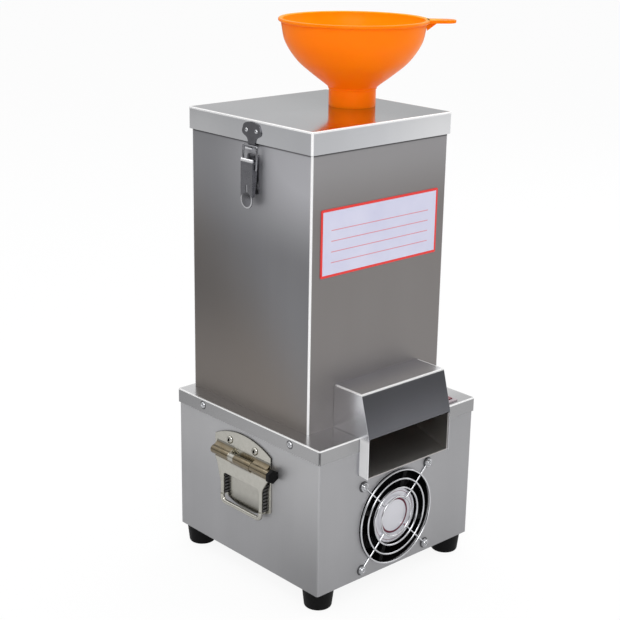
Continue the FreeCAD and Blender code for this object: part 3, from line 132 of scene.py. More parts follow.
# %% Helpers for node trees
class Number:
    """A number in a node tree that can be used in expressions."""

    def __init__(self, tree, socket):
        self.tree = tree
        self.socket = socket

    def math(self, operation, first, second=0.0):
        made = self.tree.add("ShaderNodeMath", {"operation": operation}, {0: first, 1: second})
        return Number(self.tree, made.outputs[0])

    def __add__(self, other):
        return self.math("ADD", self, other)

    __radd__ = __add__

    def __sub__(self, other):
        return self.math("SUBTRACT", self, other)

    def __rsub__(self, other):
        return self.math("SUBTRACT", other, self)

    def __mul__(self, other):
        return self.math("MULTIPLY", self, other)

    __rmul__ = __mul__

    def __truediv__(self, other):
        return self.math("DIVIDE", self, other)

    def __abs__(self):
        return self.math("ABSOLUTE", self)

    def larger(self, other):
        return self.math("MAXIMUM", self, other)

    def smaller(self, other):
        return self.math("MINIMUM", self, other)

    def root(self):
        return self.math("SQRT", self)

    def wave(self):
        return self.math("SINE", self)

    def rise(self, low, high):
        """0 below low, 1 above high and a smooth step between them."""
        made = self.tree.add("ShaderNodeMapRange", {"interpolation_type": "SMOOTHSTEP"},
                             {"Value": self, "From Min": low, "From Max": high})
        return Number(self.tree, made.outputs[0])


class Tree:
    """A node tree under construction."""

    def __init__(self, tree):
        self.tree = tree

    def add(self, kind, settings=None, inputs=None):
        made = self.tree.nodes.new(kind)
        for name, value in (settings or {}).items():
            setattr(made, name, value)
        for place, value in (inputs or {}).items():
            self.give(made.inputs[place], value)
        return made

    def give(self, socket, value):
        if isinstance(value, Number):
            value = value.socket
        if isinstance(value, bpy.types.NodeSocket):
            self.tree.links.new(value, socket)
        else:
            socket.default_value = value

    def number(self, node, place=0):
        return Number(self, node.outputs[place])


def tone(red, green, blue):
    """A colour as a screen shows it, 0 to 255, turned into the linear values that light needs."""
    shares = [channel / 255 for channel in (red, green, blue)]
    return [share / 12.92 if share <= 0.04045 else ((share + 0.055) / 1.055) ** 2.4
            for share in shares] + [1.0]


# %% [markdown]
# A finish starts from one Principled shader. `Look` adds what most finishes here need: the point's
# place in millimetres, stretched noise for grain and stains, and a way to blend two colours. All
# patterns read object coordinates, so they stay with the piece when a joint moves it.

# %% Helpers for finishes
class Look(Tree):
    """A material with one Principled shader."""

    def __init__(self, name, metallic=0.0, **constants):
        self.material = bpy.data.materials.new(name)
        self.material.use_nodes = True
        super().__init__(self.material.node_tree)
        self.shader = self.tree.nodes["Principled BSDF"]
        self.shader.inputs["Metallic"].default_value = metallic
        for label, value in constants.items():
            self.shader.inputs[label.replace("_", " ")].default_value = value

    def place(self):
        """The point's x, y and z in millimetres."""
        coordinates = self.add("ShaderNodeTexCoord")
        split = self.add("ShaderNodeSeparateXYZ", None, {0: coordinates.outputs["Object"]})
        return [self.number(split, index) * 1000.0 for index in range(3)]

    def facing(self):
        """The x, y and z of the surface's own direction."""
        coordinates = self.add("ShaderNodeTexCoord")
        split = self.add("ShaderNodeSeparateXYZ", None, {0: coordinates.outputs["Normal"]})
        return [self.number(split, index) for index in range(3)]

    def noise(self, x, y, z, detail=2.0, roughness=0.5):
        vector = self.add("ShaderNodeCombineXYZ", None, {0: x, 1: y, 2: z})
        made = self.add("ShaderNodeTexNoise", None, {"Vector": vector.outputs[0], "Scale": 1.0,
                                                     "Detail": detail, "Roughness": roughness})
        return self.number(made)

    def mix(self, share, first, second):
        made = self.add("ShaderNodeMix", {"data_type": "RGBA"}, {0: share, 6: first, 7: second})
        return made.outputs[2]

    def colour(self, value):
        self.give(self.shader.inputs["Base Color"], value)

    def roughness(self, value):
        self.give(self.shader.inputs["Roughness"], value)

    def relief(self, height, depth):
        """Bumps whose height runs from 0 to 1, depth millimetres deep."""
        bump = self.add("ShaderNodeBump", None, {"Height": height, "Distance": depth * 0.001,
                                                 "Strength": 1.0})
        self.give(self.shader.inputs["Normal"], bump.outputs[0])


def shifted(light, amount):
    """The tone of a colour whose channels all move by the same amount."""
    return tone(*[min(max(channel + amount, 0), 255) for channel in light])


def near(a, a_line, b, b_line, width):
    """1 along a line where a and b have those values, fading out at width millimetres."""
    return 1 - abs(a - a_line).larger(abs(b - b_line)).rise(width * 0.55, width)


# %% [markdown]
# Sheet steel is brushed in one direction, so its grain is noise that is stretched a hundred times
# along that direction: upright on the walls, and from left to right on the tops. The grain is
# fine, so it stays faint. Slow noise adds the clouds that wiping leaves. Thin bright lines along
# the folded edges are painted highlights, open seams are dark lines, and a few painted shadows
# are dark lines and rings as well. Each sheet's tone is painted darker or brighter where light
# falls less or more, and the tower has a painted warm reflection. Masks made from the point's
# place find all of these.

# %% Sheet steel
# Painted shade darkens a sheet's colour to this share, and painted light brightens it by the next
# factor up to a limit. The dark tone marks open seams and painted shadows, and the white tone marks
# painted highlights.
SHADE = 0.62
GLOW = 1.4
GLOW_LIMIT = 250
SEAM_AND_SHADOW = tone(58, 58, 60)
PAINTED_HIGHLIGHT = tone(252, 252, 252)


def steel(name, light, rough, edges=None, seams_and_shadows=None, painted_light=None, warm=None):
    look = Look(name, metallic=1.0)
    x, y, z = look.place()
    across, along, up = look.facing()
    flat = abs(up).rise(0.5, 0.8)
    run = x * (1 - abs(across)) + y * abs(across)
    wall_grain = look.noise(run * 0.9, 0.0, z * 0.006, 3.0, 0.6)
    top_grain = look.noise(x * 0.006, y * 0.9, z * 0.9, 3.0, 0.6)
    grain = wall_grain * (1 - flat) + top_grain * flat
    broad = look.noise(run * 0.03, 4.0, z * 0.003, 2.0, 0.5)
    clouds = look.noise(x * 0.012, y * 0.012, z * 0.009, 2.0, 0.5)
    level = 0.5 + (grain - 0.5) * 0.3 + (broad - 0.5) * 0.4 * (1 - flat) + (clouds - 0.5) * 0.6
    colour = look.mix(level, shifted(light, -10), shifted(light, 10))
    # A painted reflection: a warm tint mixed into the sheet's colour.
    if warm:
        colour = look.mix(warm(y, z, along), colour, tone(light[0], light[1] - 8, light[2] - 18))
    # Painted shade and painted light: the colour is mixed towards a darker and a brighter copy of
    # itself.
    if painted_light:
        shade, glow = painted_light(x, y, z, across, along)
        colour = look.mix(shade, colour, tone(*[channel * SHADE for channel in light]))
        bright = tone(*[min(channel * GLOW, GLOW_LIMIT) for channel in light])
        colour = look.mix(glow, colour, bright)
    # Open seams and painted shadows, in one dark tone.
    if seams_and_shadows:
        colour = look.mix(seams_and_shadows(x, y, z), colour, SEAM_AND_SHADOW)
    # Painted highlights: near white and less metallic along the edges.
    if edges:
        painted_highlight = edges(x, y, z)
        colour = look.mix(painted_highlight, colour, PAINTED_HIGHLIGHT)
        look.give(look.shader.inputs["Metallic"], 1 - painted_highlight * 0.55)
    look.colour(colour)
    look.roughness(rough + (grain - 0.5) * 0.05 + (clouds - 0.5) * 0.06)
    look.relief(grain * 0.2 + clouds * 0.8, 0.015)
    return look.material


def ring_round(a, b, radius, width):
    """1 along a circle of that radius, a and b being the distances from its middle."""
    reach = (a * a + b * b).root()
    return near(reach, radius, reach, radius, width)


def cabinet_shadow_rings(x, y, z):
    """Painted shadows: the thin dark rings where the fan's washers press on the wall."""
    across = abs(x - FAN_MIDDLE[0]) - FAN_SCREW_REACH
    up = abs(z - FAN_MIDDLE[1]) - FAN_SCREW_REACH
    return ring_round(across, up, 5.8, 1.1) * (1 - y.rise(-124.8, -124.4)) * 0.8


# Painted shade low on the sides towards the front and on the right of the front, and painted light
# high on the sides.
def cabinet_painted_light(x, y, z, across, along):
    side = abs(across).rise(0.5, 0.8)
    low = side * (1 - y.rise(-125.0, 0.0)) * (1 - z.rise(30.0, 130.0)) * 0.35
    right = (1 - side) * x.rise(0.0, 120.0) * 0.12
    return low + right, side * z.rise(90.0, 175.0) * 0.16


# Painted highlights along the top's folded edges.
def cover_edge_highlights(x, y, z):
    sides = near(abs(x), COVER_HALF, z, COVER_TOP, 1.8)
    return sides.larger(near(abs(y), COVER_HALF, z, COVER_TOP, 1.8))


def cover_seams_and_shadows(x, y, z):
    """Each corner of the flange is an open slit, and each screw has a painted shadow, a dark ring
    round it.
    """
    corner = near(abs(x), COVER_HALF, abs(y), COVER_HALF, 2.2) * (1 - z.rise(198.0, 200.0))
    screws = ring_round(abs(y) - COVER_SCREW[0], z - COVER_SCREW[1], 4.4, 0.9)
    screws = screws * abs(x).rise(126.0, 126.3)
    return corner.larger(screws) * 0.8


def cover_painted_shade(x, y, z, across, along):
    """Painted shade: the flange turns away from the light, and the top is darker towards its front.
    """
    flange = abs(across).larger(abs(along)).rise(0.5, 0.8)
    return flange * 0.64 + (1 - flange) * (1 - y.rise(-125.0, -70.0)) * 0.4, 0.0


# Painted highlights along the tower's four upright edges.
def tower_edge_highlights(x, y, z):
    return near(abs(x), TOWER_HALF[0] - 0.5, abs(y - TOWER_Y), TOWER_HALF[1] - 0.5, 2.0)


def tower_flange_shadow(x, y, z):
    """The painted shadow under the lid's flange."""
    return z.rise(513.0, 514.6) * 0.75


def tower_painted_light(x, y, z, across, along):
    """Painted shade and painted light: the left and right walls are darker at the back and lower
    down, and brighter near the front at the top, and the front is brighter at its top.
    """
    side = abs(across).rise(0.5, 0.8)
    depth = 0.46 - z.rise(330.0, 480.0) * 0.36 - (1 - z.rise(230.0, 340.0)) * 0.34
    back = y.rise(-70.0, 118.0) * depth
    lower = (1 - z.rise(370.0, 440.0)) * 0.1
    high = z.rise(390.0, 505.0) * (1.25 - y.rise(-84.0, 100.0)) * side
    front = z.rise(430.0, 515.0) * (1 - side) * 0.42
    return (back + lower) * side, high.larger(front)


def tower_warm_reflection(y, z, along):
    """A painted reflection: the front is slightly warm, and so is the lower back part of each side.
    """
    front = abs(along).rise(0.5, 0.8)
    low = 1 - (z - y * 0.93).rise(230.0, 400.0)
    return front * 0.5 + (1 - front) * low * 0.9


# Painted highlights along the lid's top edges and its upright corners.
def lid_edge_highlights(x, y, z):
    rim = near(abs(x), LID_HALF[0] - 0.2, z, LID_TOP - 0.2, 2.4)
    rim = rim.larger(near(abs(y - TOWER_Y), LID_HALF[1] - 0.2, z, LID_TOP - 0.2, 2.4))
    return rim.larger(near(abs(x), LID_HALF[0] - 0.5, abs(y - TOWER_Y), LID_HALF[1] - 0.5, 2.0))


# Painted shade and painted light: the sides are darker near the front and brighter at the back, the
# front is darker at the left and brighter at the right, and the top is darker at the right.
def lid_painted_light(x, y, z, across, along):
    side = abs(across).rise(0.5, 0.8)
    front = abs(along).rise(0.5, 0.8)
    top = 1 - side.larger(front)
    shade = side * (1 - y.rise(-85.0, 20.0)) * 0.4 + front * (1 - x.rise(-107.0, 0.0)) * 0.2
    shade = shade + top * x.rise(-30.0, 60.0) * 0.3
    glow = side * y.rise(-10.0, 110.0) * 0.4 + front * x.rise(-20.0, 100.0) * 0.5
    return shade, glow


# Painted highlights along the hood's top edges and on the low front part of each side.
def hood_edge_highlights(x, y, z):
    front = near(y, HOOD_FRONT, z, HOOD_TOP, 2.2)
    sides = near(abs(x), HOOD_HALF, z, HOOD_TOP, 2.2) * (1 - y.rise(-90.0, -84.0))
    low_side = abs(x).rise(66.0, 66.4) * (1 - y.rise(-128.0, -126.6)) * (1 - z.rise(198.0, 206.0))
    return front.larger(sides).larger(low_side)


def hood_painted_light(x, y, z, across, along):
    """Painted shade and painted light: the slanting lip is darker than the rest, most of all at its
    top, while the top, most near its front, and the sides are brighter.
    """
    side = abs(across).rise(0.3, 0.6)
    lip = (1 - y.rise(-128.8, -128.2)) * (1 - side)
    top = (1 - side) * (1 - lip)
    glow = top * (0.1 + (1 - y.rise(-126.0, -90.0)) * 0.6) + side * 0.4
    return lip * (0.75 + z.rise(200.0, 250.0) * 0.25), glow


# Faint painted highlights along the tray's two slanting edges.
def tray_edge_highlights(x, y, z):
    return near(abs(x), 64.6, z - y * 0.286, 194.8, 1.4) * 0.5


STEEL = {
    "base_cabinet": steel("cabinet_steel", (185, 185, 187), 0.52, None, cabinet_shadow_rings,
                          cabinet_painted_light),
    "base_cover": steel("cover_steel", (212, 212, 213), 0.24, cover_edge_highlights, cover_seams_and_shadows,
                        cover_painted_shade),
    "tower_shell": steel("tower_steel", (150, 150, 153), 0.5, tower_edge_highlights, tower_flange_shadow, tower_painted_light,
                         tower_warm_reflection),
    "tower_lid": steel("lid_steel", (206, 207, 210), 0.1, lid_edge_highlights, None, lid_painted_light),
    # The hood's slight blue tint is a painted reflection.
    "chute_hood": steel("hood_steel", (200, 201, 209), 0.24, hood_edge_highlights, None, hood_painted_light),
    "chute_tray": steel("tray_steel", (190, 187, 184), 0.34, tray_edge_highlights),
    "base_floor": steel("floor_steel", (160, 160, 162), 0.4),
}
print("sheet steel finishes:", sorted(STEEL))

# %% [markdown]
# Plated and cast metals. Chrome wire is nearly a mirror. The side handles are nickel plated, which
# looks warmer than steel, and their plating has worn yellow on the barrel. Zinc plated screws are
# a little duller, with fine grain from tumbling. Cast aluminium is matt and pitted.

# %% Other metals
def plated(name, light, rough, wear_and_highlight=None, painted_shade_mask=None, painted_highlight=None):
    look = Look(name, metallic=1.0)
    x, y, z = look.place()
    grain = look.noise(x * 1.3, y * 1.3, z * 1.3, 3.0, 0.6)
    clouds = look.noise(x * 0.15, y * 0.15, z * 0.15, 2.0, 0.5)
    colour = look.mix(clouds * 0.7 + grain * 0.3, shifted(light, -14), shifted(light, 14))
    # Yellowed plating from wear, with any spot left out of it staying pale as a painted highlight.
    if wear_and_highlight:
        colour = look.mix(wear_and_highlight(x, y, z) * (0.7 + clouds * 0.3), colour, tone(118, 104, 78))
    # Painted highlights, mixed towards near white.
    if painted_highlight:
        colour = look.mix(painted_highlight(x, y, z), colour, tone(248, 248, 250))
    # Painted shade, mixed towards a dark tone.
    if painted_shade_mask:
        across, along, up = look.facing()
        colour = look.mix(painted_shade_mask(x, y, z, across), colour, tone(44, 43, 40))
    look.colour(colour)
    look.roughness(rough + (grain - 0.5) * 0.1 + (clouds - 0.5) * 0.08)
    look.relief(grain, 0.02)
    return look.material


# The barrel's plating has yellowed with wear, except one spot on the middle length that keeps the
# pale plating as a painted highlight.
def barrel_wear_and_highlight(x, y, z):
    bright = near(y, 14.0, z, 151.0, 6.0)
    return (1 - abs(z - 151.0).rise(8.0, 10.0)) * abs(x).rise(127.2, 128.0) * (1 - bright)


def handle_painted_shade(x, y, z, across):
    """Painted shade: the plate's upper edge, the plate behind the grip, more towards its foot, and
    the screws' hollows are dark.
    """
    plate = 1 - abs(abs(x) - 126.0).rise(1.1, 1.5)
    plate_edge = (1 - abs(across).rise(0.35, 0.75)) * z.rise(150.0, 158.0) * plate
    shadow = (1 - abs(y - BARREL_Y).rise(29.0, 33.0)) * (1 - z.rise(118.0, 124.0)) * plate
    shadow = shadow * (0.12 + (1 - z.rise(91.0, 108.0)) * 0.45)
    a = abs(y - HANDLE_Y) - HANDLE_SCREW[0]
    b = z - HANDLE_SCREW[1]
    hollow = (1 - (a * a + b * b).root().rise(1.5, 2.1)) * abs(x).rise(127.0, 127.3)
    return plate_edge.larger(hollow).larger(shadow)


def lever_painted_highlight(x, y, z):
    """Painted highlights along the lever's top bend and round the end of its finger tab."""
    tab = ring_round(y - LATCH_Y, z - FINGER_Z, 8.9, 1.1) * (1 - z.rise(455.0, 459.0))
    return z.rise(494.8, 496.6).larger(tab * 0.6) * abs(x).rise(113.6, 114.3)


def cast(name, light, rough, depth):
    look = Look(name, metallic=0.85)
    x, y, z = look.place()
    pits = look.noise(x * 1.6, y * 1.6, z * 1.6, 4.0, 0.65)
    look.colour(look.mix(pits, shifted(light, -18), shifted(light, 10)))
    look.roughness(rough + (pits - 0.5) * 0.2)
    look.relief(pits, depth)
    return look.material


CHROME = plated("chrome_wire", (222, 223, 226), 0.08)
NICKEL = plated("nickel_plate", (192, 190, 182), 0.2, barrel_wear_and_highlight, handle_painted_shade)
LATCH = plated("latch_plate", (120, 120, 124), 0.28, painted_highlight=lever_painted_highlight)
KEEPER = plated("keeper_plate", (112, 112, 116), 0.34)
BAIL = plated("bail_wire", (150, 150, 154), 0.16)
ZINC = plated("zinc_fasteners", (196, 197, 200), 0.2)
DRUM = steel("drum_steel", (176, 176, 178), 0.24)
ALUMINIUM = cast("cast_aluminium", (176, 177, 178), 0.5, 0.12)
ENAMEL = cast("motor_enamel", (64, 68, 74), 0.45, 0.05)
print("plated and cast finishes ready")

# %% [markdown]
# Rubber and plastics. Moulded parts are rarely one flat colour: rubber has a fine matt grain and
# dust, nylon has a slight orange peel, and the polypropylene funnel lets light through its wall.
# The funnel gets some subsurface light, which makes the bowl glow, and a soft clear gloss. Its
# inside is painted lighter than its outside, as painted light, and a weak orange emission on its
# lower part is a painted glow.

# %% Rubber and plastics
def moulded(name, light, rough, depth, variation=8, **constants):
    look = Look(name, **constants)
    x, y, z = look.place()
    peel = look.noise(x * 0.9, y * 0.9, z * 0.9, 3.0, 0.55)
    clouds = look.noise(x * 0.05, y * 0.05, z * 0.05, 2.0, 0.5)
    look.colour(look.mix(clouds * 0.7 + peel * 0.3, shifted(light, -variation),
                         shifted(light, variation)))
    look.roughness(rough + (peel - 0.5) * 0.14 + (clouds - 0.5) * 0.1)
    look.relief(peel, depth)
    return look.material


def funnel_finish():
    look = Look("orange_polypropylene", Subsurface_Weight=0.5, Subsurface_Scale=0.012, IOR=1.49,
                Specular_IOR_Level=0.08, Coat_Roughness=0.1)
    look.shader.inputs["Subsurface Radius"].default_value = (1.0, 0.5, 0.1)
    x, y, z = look.place()
    across, along, up = look.facing()
    peel = look.noise(x * 0.35, y * 0.35, z * 0.35, 2.0, 0.5)
    flow = look.noise(x * 0.03, y * 0.03, z * 0.05, 2.0, 0.5)
    outside = (across * (x - FUNNEL_AXIS[0]) + along * (y - FUNNEL_AXIS[1])).rise(-8.0, 4.0)
    lower = look.mix(z.rise(566.0, 600.0), tone(255, 122, 0), tone(255, 124, 0))
    # Painted light: the inside of the bowl is painted lighter than the outside.
    body = look.mix(outside, tone(255, 156, 4), lower)
    look.colour(look.mix(flow * 0.3, body, tone(255, 136, 2)))
    look.roughness(0.32 + (peel - 0.5) * 0.1)
    look.relief(peel, 0.03)
    look.shader.inputs["Coat Weight"].default_value = 0.03
    # A painted glow: a weak orange emission on the spout and lower bowl, though the funnel is no
    # lamp.
    look.shader.inputs["Emission Strength"].default_value = 0.1
    look.give(look.shader.inputs["Emission Color"],
              look.mix(z.rise(560.0, 590.0), tone(255, 110, 12), tone(0, 0, 0)))
    return look.material


RUBBER = moulded("black_rubber", (10, 10, 11), 0.5, 0.04, 4, Specular_IOR_Level=0.14)
SILICONE = moulded("food_silicone", (214, 206, 190), 0.45, 0.04, 8)
SEAL = moulded("seal_rubber", (60, 60, 62), 0.6, 0.05, 6)
FAN_PLASTIC = moulded("fan_plastic", (9, 9, 10), 0.5, 0.02, 3, Specular_IOR_Level=0.1)
SWITCH_BEZEL = moulded("switch_bezel", (168, 158, 163), 0.35, 0.02, 5)
SWITCH_RED = moulded("switch_red", (112, 8, 36), 0.2, 0.002, 6, Coat_Weight=0.5)
# The ribs are a lighter grey than the strip they belong to, a painted highlight for their glints, on
# top of their real gloss.
RIBBED = moulded("ribbed_rubber", (64, 64, 66), 0.14, 0.01, 4)
NYLON = moulded("gland_nylon", (34, 34, 36), 0.42, 0.03, 6)
CAPACITOR = moulded("capacitor_case", (226, 226, 220), 0.35, 0.02, 6)
ORANGE = funnel_finish()
print("rubber and plastic finishes ready")

# %% [markdown]
# The plate on the tower is a thin printed sheet with a red border on a pale lilac field, and a few
# ruled lines as on a blank form. The border's mask is how far a point lies outside the inner
# rectangle.

# %% Printed finishes
def ruled(z, height, thickness):
    return 1 - abs(z - height).rise(thickness * 0.4, thickness * 0.7)


def plate_finish():
    look = Look("printed_plate", metallic=0.0)
    look.shader.inputs["Coat Roughness"].default_value = 0.2
    look.shader.inputs["Coat Weight"].default_value = 0.3
    x, y, z = look.place()
    up = z - PLATE_MIDDLE
    border = (abs(x) - 88.2).larger(abs(up) - 35.2).rise(-0.2, 0.2)
    clouds = look.noise(x * 0.03, y * 0.03, z * 0.03, 2.0, 0.5)
    field = look.mix(clouds, tone(196, 197, 222), tone(214, 214, 232))
    inside = 1 - abs(x).rise(75.6, 76.0)
    lines = ruled(up, 2.0, 0.9).larger(ruled(up, -10.0, 0.9)).larger(ruled(up, -22.0, 0.9))
    lines = lines.larger(ruled(up, 14.0, 0.9)) * inside
    form = look.mix(lines * 0.75, field, tone(216, 92, 96))
    look.colour(look.mix(border, form, tone(226, 30, 22)))
    look.roughness(0.3 + (clouds - 0.5) * 0.1)
    look.relief(border, 0.05)
    return look.material


def hub_finish():
    """The silver disc on the fan's hub, with fine turned rings."""
    look = Look("hub_disc", metallic=0.6)
    x, y, z = look.place()
    across = x - FAN_MIDDLE[0]
    up = z - FAN_MIDDLE[1]
    reach = (across * across + up * up).root()
    rings = (reach * 4.2).wave() * 0.5 + 0.5
    band = near(reach, 20.5, reach, 20.5, 1.5).larger(near(reach, 30.0, reach, 30.0, 0.6) * 0.6)
    foil = look.mix(rings * 0.4, tone(214, 214, 220), tone(240, 240, 244))
    look.colour(look.mix(band, foil, tone(104, 22, 50)))
    look.roughness(0.3 + rings * 0.08)
    look.relief(rings, 0.02)
    return look.material


PLATE = plate_finish()
HUB = hub_finish()
print("printed finishes ready")

# %% [markdown]
# Meshes are written with bmesh, in millimetres. A turned piece is a closed outline spun round an
# axis. Corners of an outline are rounded first, since no real edge is perfectly sharp, and the
# rounding catches the light. `piece` does what every finished mesh needs: metres, normals that
# point outwards, soft shading, a finish, a material slot and the body that it rides on.

# %% Helpers for meshes
def rounded(points, radii, steps=5):
    """A closed outline whose corners are rounded. radii is one number or one for each corner."""
    count = len(points)
    if not hasattr(radii, "__len__"):
        radii = [radii] * count
    result = []
    for index, radius in enumerate(radii):
        corner = Vector(points[index])
        before = Vector(points[index - 1]) - corner
        after = Vector(points[(index + 1) % count]) - corner
        angle = before.angle(after, 0.0)
        if radius <= 0 or angle < 0.05 or angle > math.pi - 0.05:
            result.append(corner)
            continue
        reach = radius / math.tan(angle / 2)
        reach = min(reach, before.length * 0.49, after.length * 0.49)
        start = corner + before.normalized() * reach
        end = corner + after.normalized() * reach
        for step in range(steps + 1):
            t = step / steps
            result.append(start * (1 - t) ** 2 + corner * (2 * t * (1 - t)) + end * t ** 2)
    return result


def turn_outline(mesh, outline, middle=(0, 0), steps=64):
    """Spins a closed outline of (radius, height) points round an upright axis."""
    rings = []
    for step in range(steps):
        angle = 2 * math.pi * step / steps
        across, along = math.cos(angle), math.sin(angle)
        rings.append([mesh.verts.new((middle[0] + point[0] * across, middle[1] + point[0] * along,
                                      point[1])) for point in outline])
    for step, ring in enumerate(rings):
        following = rings[(step + 1) % steps]
        for index in range(len(outline)):
            other = (index + 1) % len(outline)
            mesh.faces.new((ring[index], ring[other], following[other], following[index]))
    bmesh.ops.remove_doubles(mesh, verts=mesh.verts, dist=1e-5)


def push_outline(mesh, outline, place, depth):
    """Pushes a closed flat outline along depth. place turns an outline point into a 3-D point."""
    low = [mesh.verts.new(place(point)) for point in outline]
    high = [mesh.verts.new(place(point) + Vector(depth)) for point in outline]
    mesh.faces.new(low)
    mesh.faces.new(list(reversed(high)))
    for index in range(len(outline)):
        other = (index + 1) % len(outline)
        mesh.faces.new((low[index], high[index], high[other], low[other]))


def turned_to(place, degrees, axis):
    """A matrix that turns a shape round an axis and then sets it at a place."""
    return Matrix.Translation(place) @ Matrix.Rotation(math.radians(degrees), 4, axis)


def add_mesh(name, data):
    made = bpy.data.objects.new(name, data)
    bpy.context.scene.collection.objects.link(made)
    return made


def baked(made):
    """Applies an object's modifiers and gives it a plain mesh."""
    seen = made.evaluated_get(bpy.context.evaluated_depsgraph_get())
    data = bpy.data.meshes.new_from_object(seen)
    made.modifiers.clear()
    made.data = data
    return made


def piece(name, mesh, finish, body, replaces=(), smooth=35.0, scale=MM):
    """Turns a bmesh or an object into a finished piece of the machine."""
    if isinstance(mesh, bmesh.types.BMesh):
        data = bpy.data.meshes.new(name)
        bmesh.ops.recalc_face_normals(mesh, faces=mesh.faces)
        mesh.to_mesh(data)
        mesh.free()
        made = add_mesh(name, data)
    else:
        made = mesh
        made.name = name
        data = made.data
    data.transform(Matrix.Scale(scale, 4))
    data.materials.clear()
    data.materials.append(finish)
    if not data.has_custom_normals:
        data.shade_smooth()
        data.set_sharp_from_angle(angle=math.radians(smooth))
    if replaces:
        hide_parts(*replaces)
    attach(made, body)
    return made


def body_of(node):
    return nodes[node]["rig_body"]


# %% [markdown]
# Most solids already have the right shape but knife-sharp edges. A copy of the mesh is welded, its
# flat faces are joined, and a small bevel is cut along every real edge. The bevel is a third of the
# sheet's thickness, about what deburring leaves.

# %% Soften the solids' edges
SOFT_ANGLE = math.radians(28.0)
FLAT_ANGLE = math.radians(0.6)


def softened(node, width, finish, slot):
    data = nodes[node].data.copy()
    mesh = bmesh.new()
    mesh.from_mesh(data)
    bmesh.ops.remove_doubles(mesh, verts=mesh.verts, dist=2e-6)
    bmesh.ops.dissolve_limit(mesh, angle_limit=FLAT_ANGLE, verts=mesh.verts, edges=mesh.edges)
    mesh.to_mesh(data)
    mesh.free()
    made = add_mesh(node + "_dressed", data)
    bevel = made.modifiers.new("soft edges", "BEVEL")
    bevel.width = width * MM
    bevel.segments = 2
    bevel.limit_method = "ANGLE"
    bevel.angle_limit = SOFT_ANGLE
    level = made.modifiers.new("flat faces stay flat", "WEIGHTED_NORMAL")
    level.keep_sharp = True
    level.weight = 100
    made.data.shade_smooth()
    baked(made)
    return piece(made.name, made, finish, body_of(node), (node,), scale=1.0)


SHEET_EDGES = {"base_cabinet": 0.3, "base_cover": 0.35, "base_floor": 0.3, "tower_shell": 0.3,
               "tower_lid": 0.35, "chute_hood": 0.35, "chute_tray": 0.3}
SOFT = [(node, width, STEEL[node], "stainless_sheet") for node, width in SHEET_EDGES.items()]
SOFT += [
    ("capacitor_clamp", 0.3, ZINC, "fastener_steel"),
    ("lid_seal", 0.4, SEAL, "black_rubber"),
    ("peeling_drum", 0.3, DRUM, "stainless_drum"),
    ("peeling_disc", 0.3, DRUM, "stainless_drum"),
    ("motor_plate", 0.4, ENAMEL, "motor_steel"),
    ("motor_stator", 0.4, ENAMEL, "motor_steel"),
    ("motor_rotor", 0.4, ENAMEL, "motor_steel"),
    ("motor_top_cap", 0.6, ALUMINIUM, "cast_aluminium"),
    ("motor_bottom_cap", 0.6, ALUMINIUM, "cast_aluminium"),
    ("motor_capacitor", 0.8, CAPACITOR, "capacitor_white"),
    ("fan_frame", 0.5, FAN_PLASTIC, "fan_plastic"),
    ("fan_impeller", 0.3, FAN_PLASTIC, "fan_plastic"),
    ("switch_bezel", 0.3, SWITCH_BEZEL, "switch_black"),
    ("switch_rocker", 0.6, SWITCH_RED, "switch_red"),
    ("cord_gland", 0.5, NYLON, "black_rubber"),
    ("handle_caps", 0.7, RUBBER, "black_rubber"),
    ("handle_buffers", 0.5, RUBBER, "black_rubber"),
]
for side in ("left", "right"):
    SOFT += [
        ("latch_base_" + side, 0.25, LATCH, "latch_steel"),
        ("latch_lever_" + side, 0.3, LATCH, "latch_steel"),
    ]
for row in SOFT:
    softened(*row)
print("softened solids:", len(SOFT))

# %% [markdown]
# Small round parts inside the machine keep their own meshes and only get a finish, and so does the
# thin plate on the tower.

# %% Finish the plain small parts
def dress(names, finish):
    for name in names:
        data = nodes[name].data
        data.materials.clear()
        data.materials.append(finish)


dress(("foot_screws", "tower_bolts", "drum_bolts", "disc_nut", "motor_bolts", "motor_shaft",
       "motor_bearings", "latch_pins", "handle_pin_left", "handle_pin_right"), ZINC)
dress(("shaft_seal",), RUBBER)
dress(("drum_liner", "disc_ribs"), SILICONE)
dress(("rating_plate",), PLATE)
print("plain parts finished")

# %% [markdown]
# The funnel is a household one, moulded in orange polypropylene: a plug that goes through the
# lid's hole, a slightly wider spout that stands on the lid, a round bowl and a thin rim with a
# finger tab. It is turned from one closed outline. The bowl's side is a curve through five measured
# points, so it has no flats, and a fine bead marks where the bowl meets the spout.

# %% Feed funnel
BOWL = [(27.3, 562.5), (49.0, 578.9), (65.4, 593.5), (78.4, 613.3), (83.0, 633.0)]
FUNNEL_WALL = 2.0
RIM_TOP = 640.0
RIM_RADIUS = 86.5
TAB_THICKNESS = 3.5
TAB_END = 116.5
TAB_NOSE = 10.4
TAB_ROOT = 13.0
TAB_TURN = -42.6


def through(points, steps=8):
    """A smooth open line through the points."""
    spots = [Vector(point) for point in points]
    spots = [spots[0] * 2 - spots[1]] + spots + [spots[-1] * 2 - spots[-2]]
    line = []
    for a, b, c, d in zip(spots, spots[1:], spots[2:], spots[3:]):
        for step in range(steps):
            t = step / steps
            line.append((b * 2 + (c - a) * t + (a * 2 - b * 5 + c * 4 - d) * t ** 2
                         + (b * 3 - a - c * 3 + d) * t ** 3) / 2)
    return line + [spots[-2]]


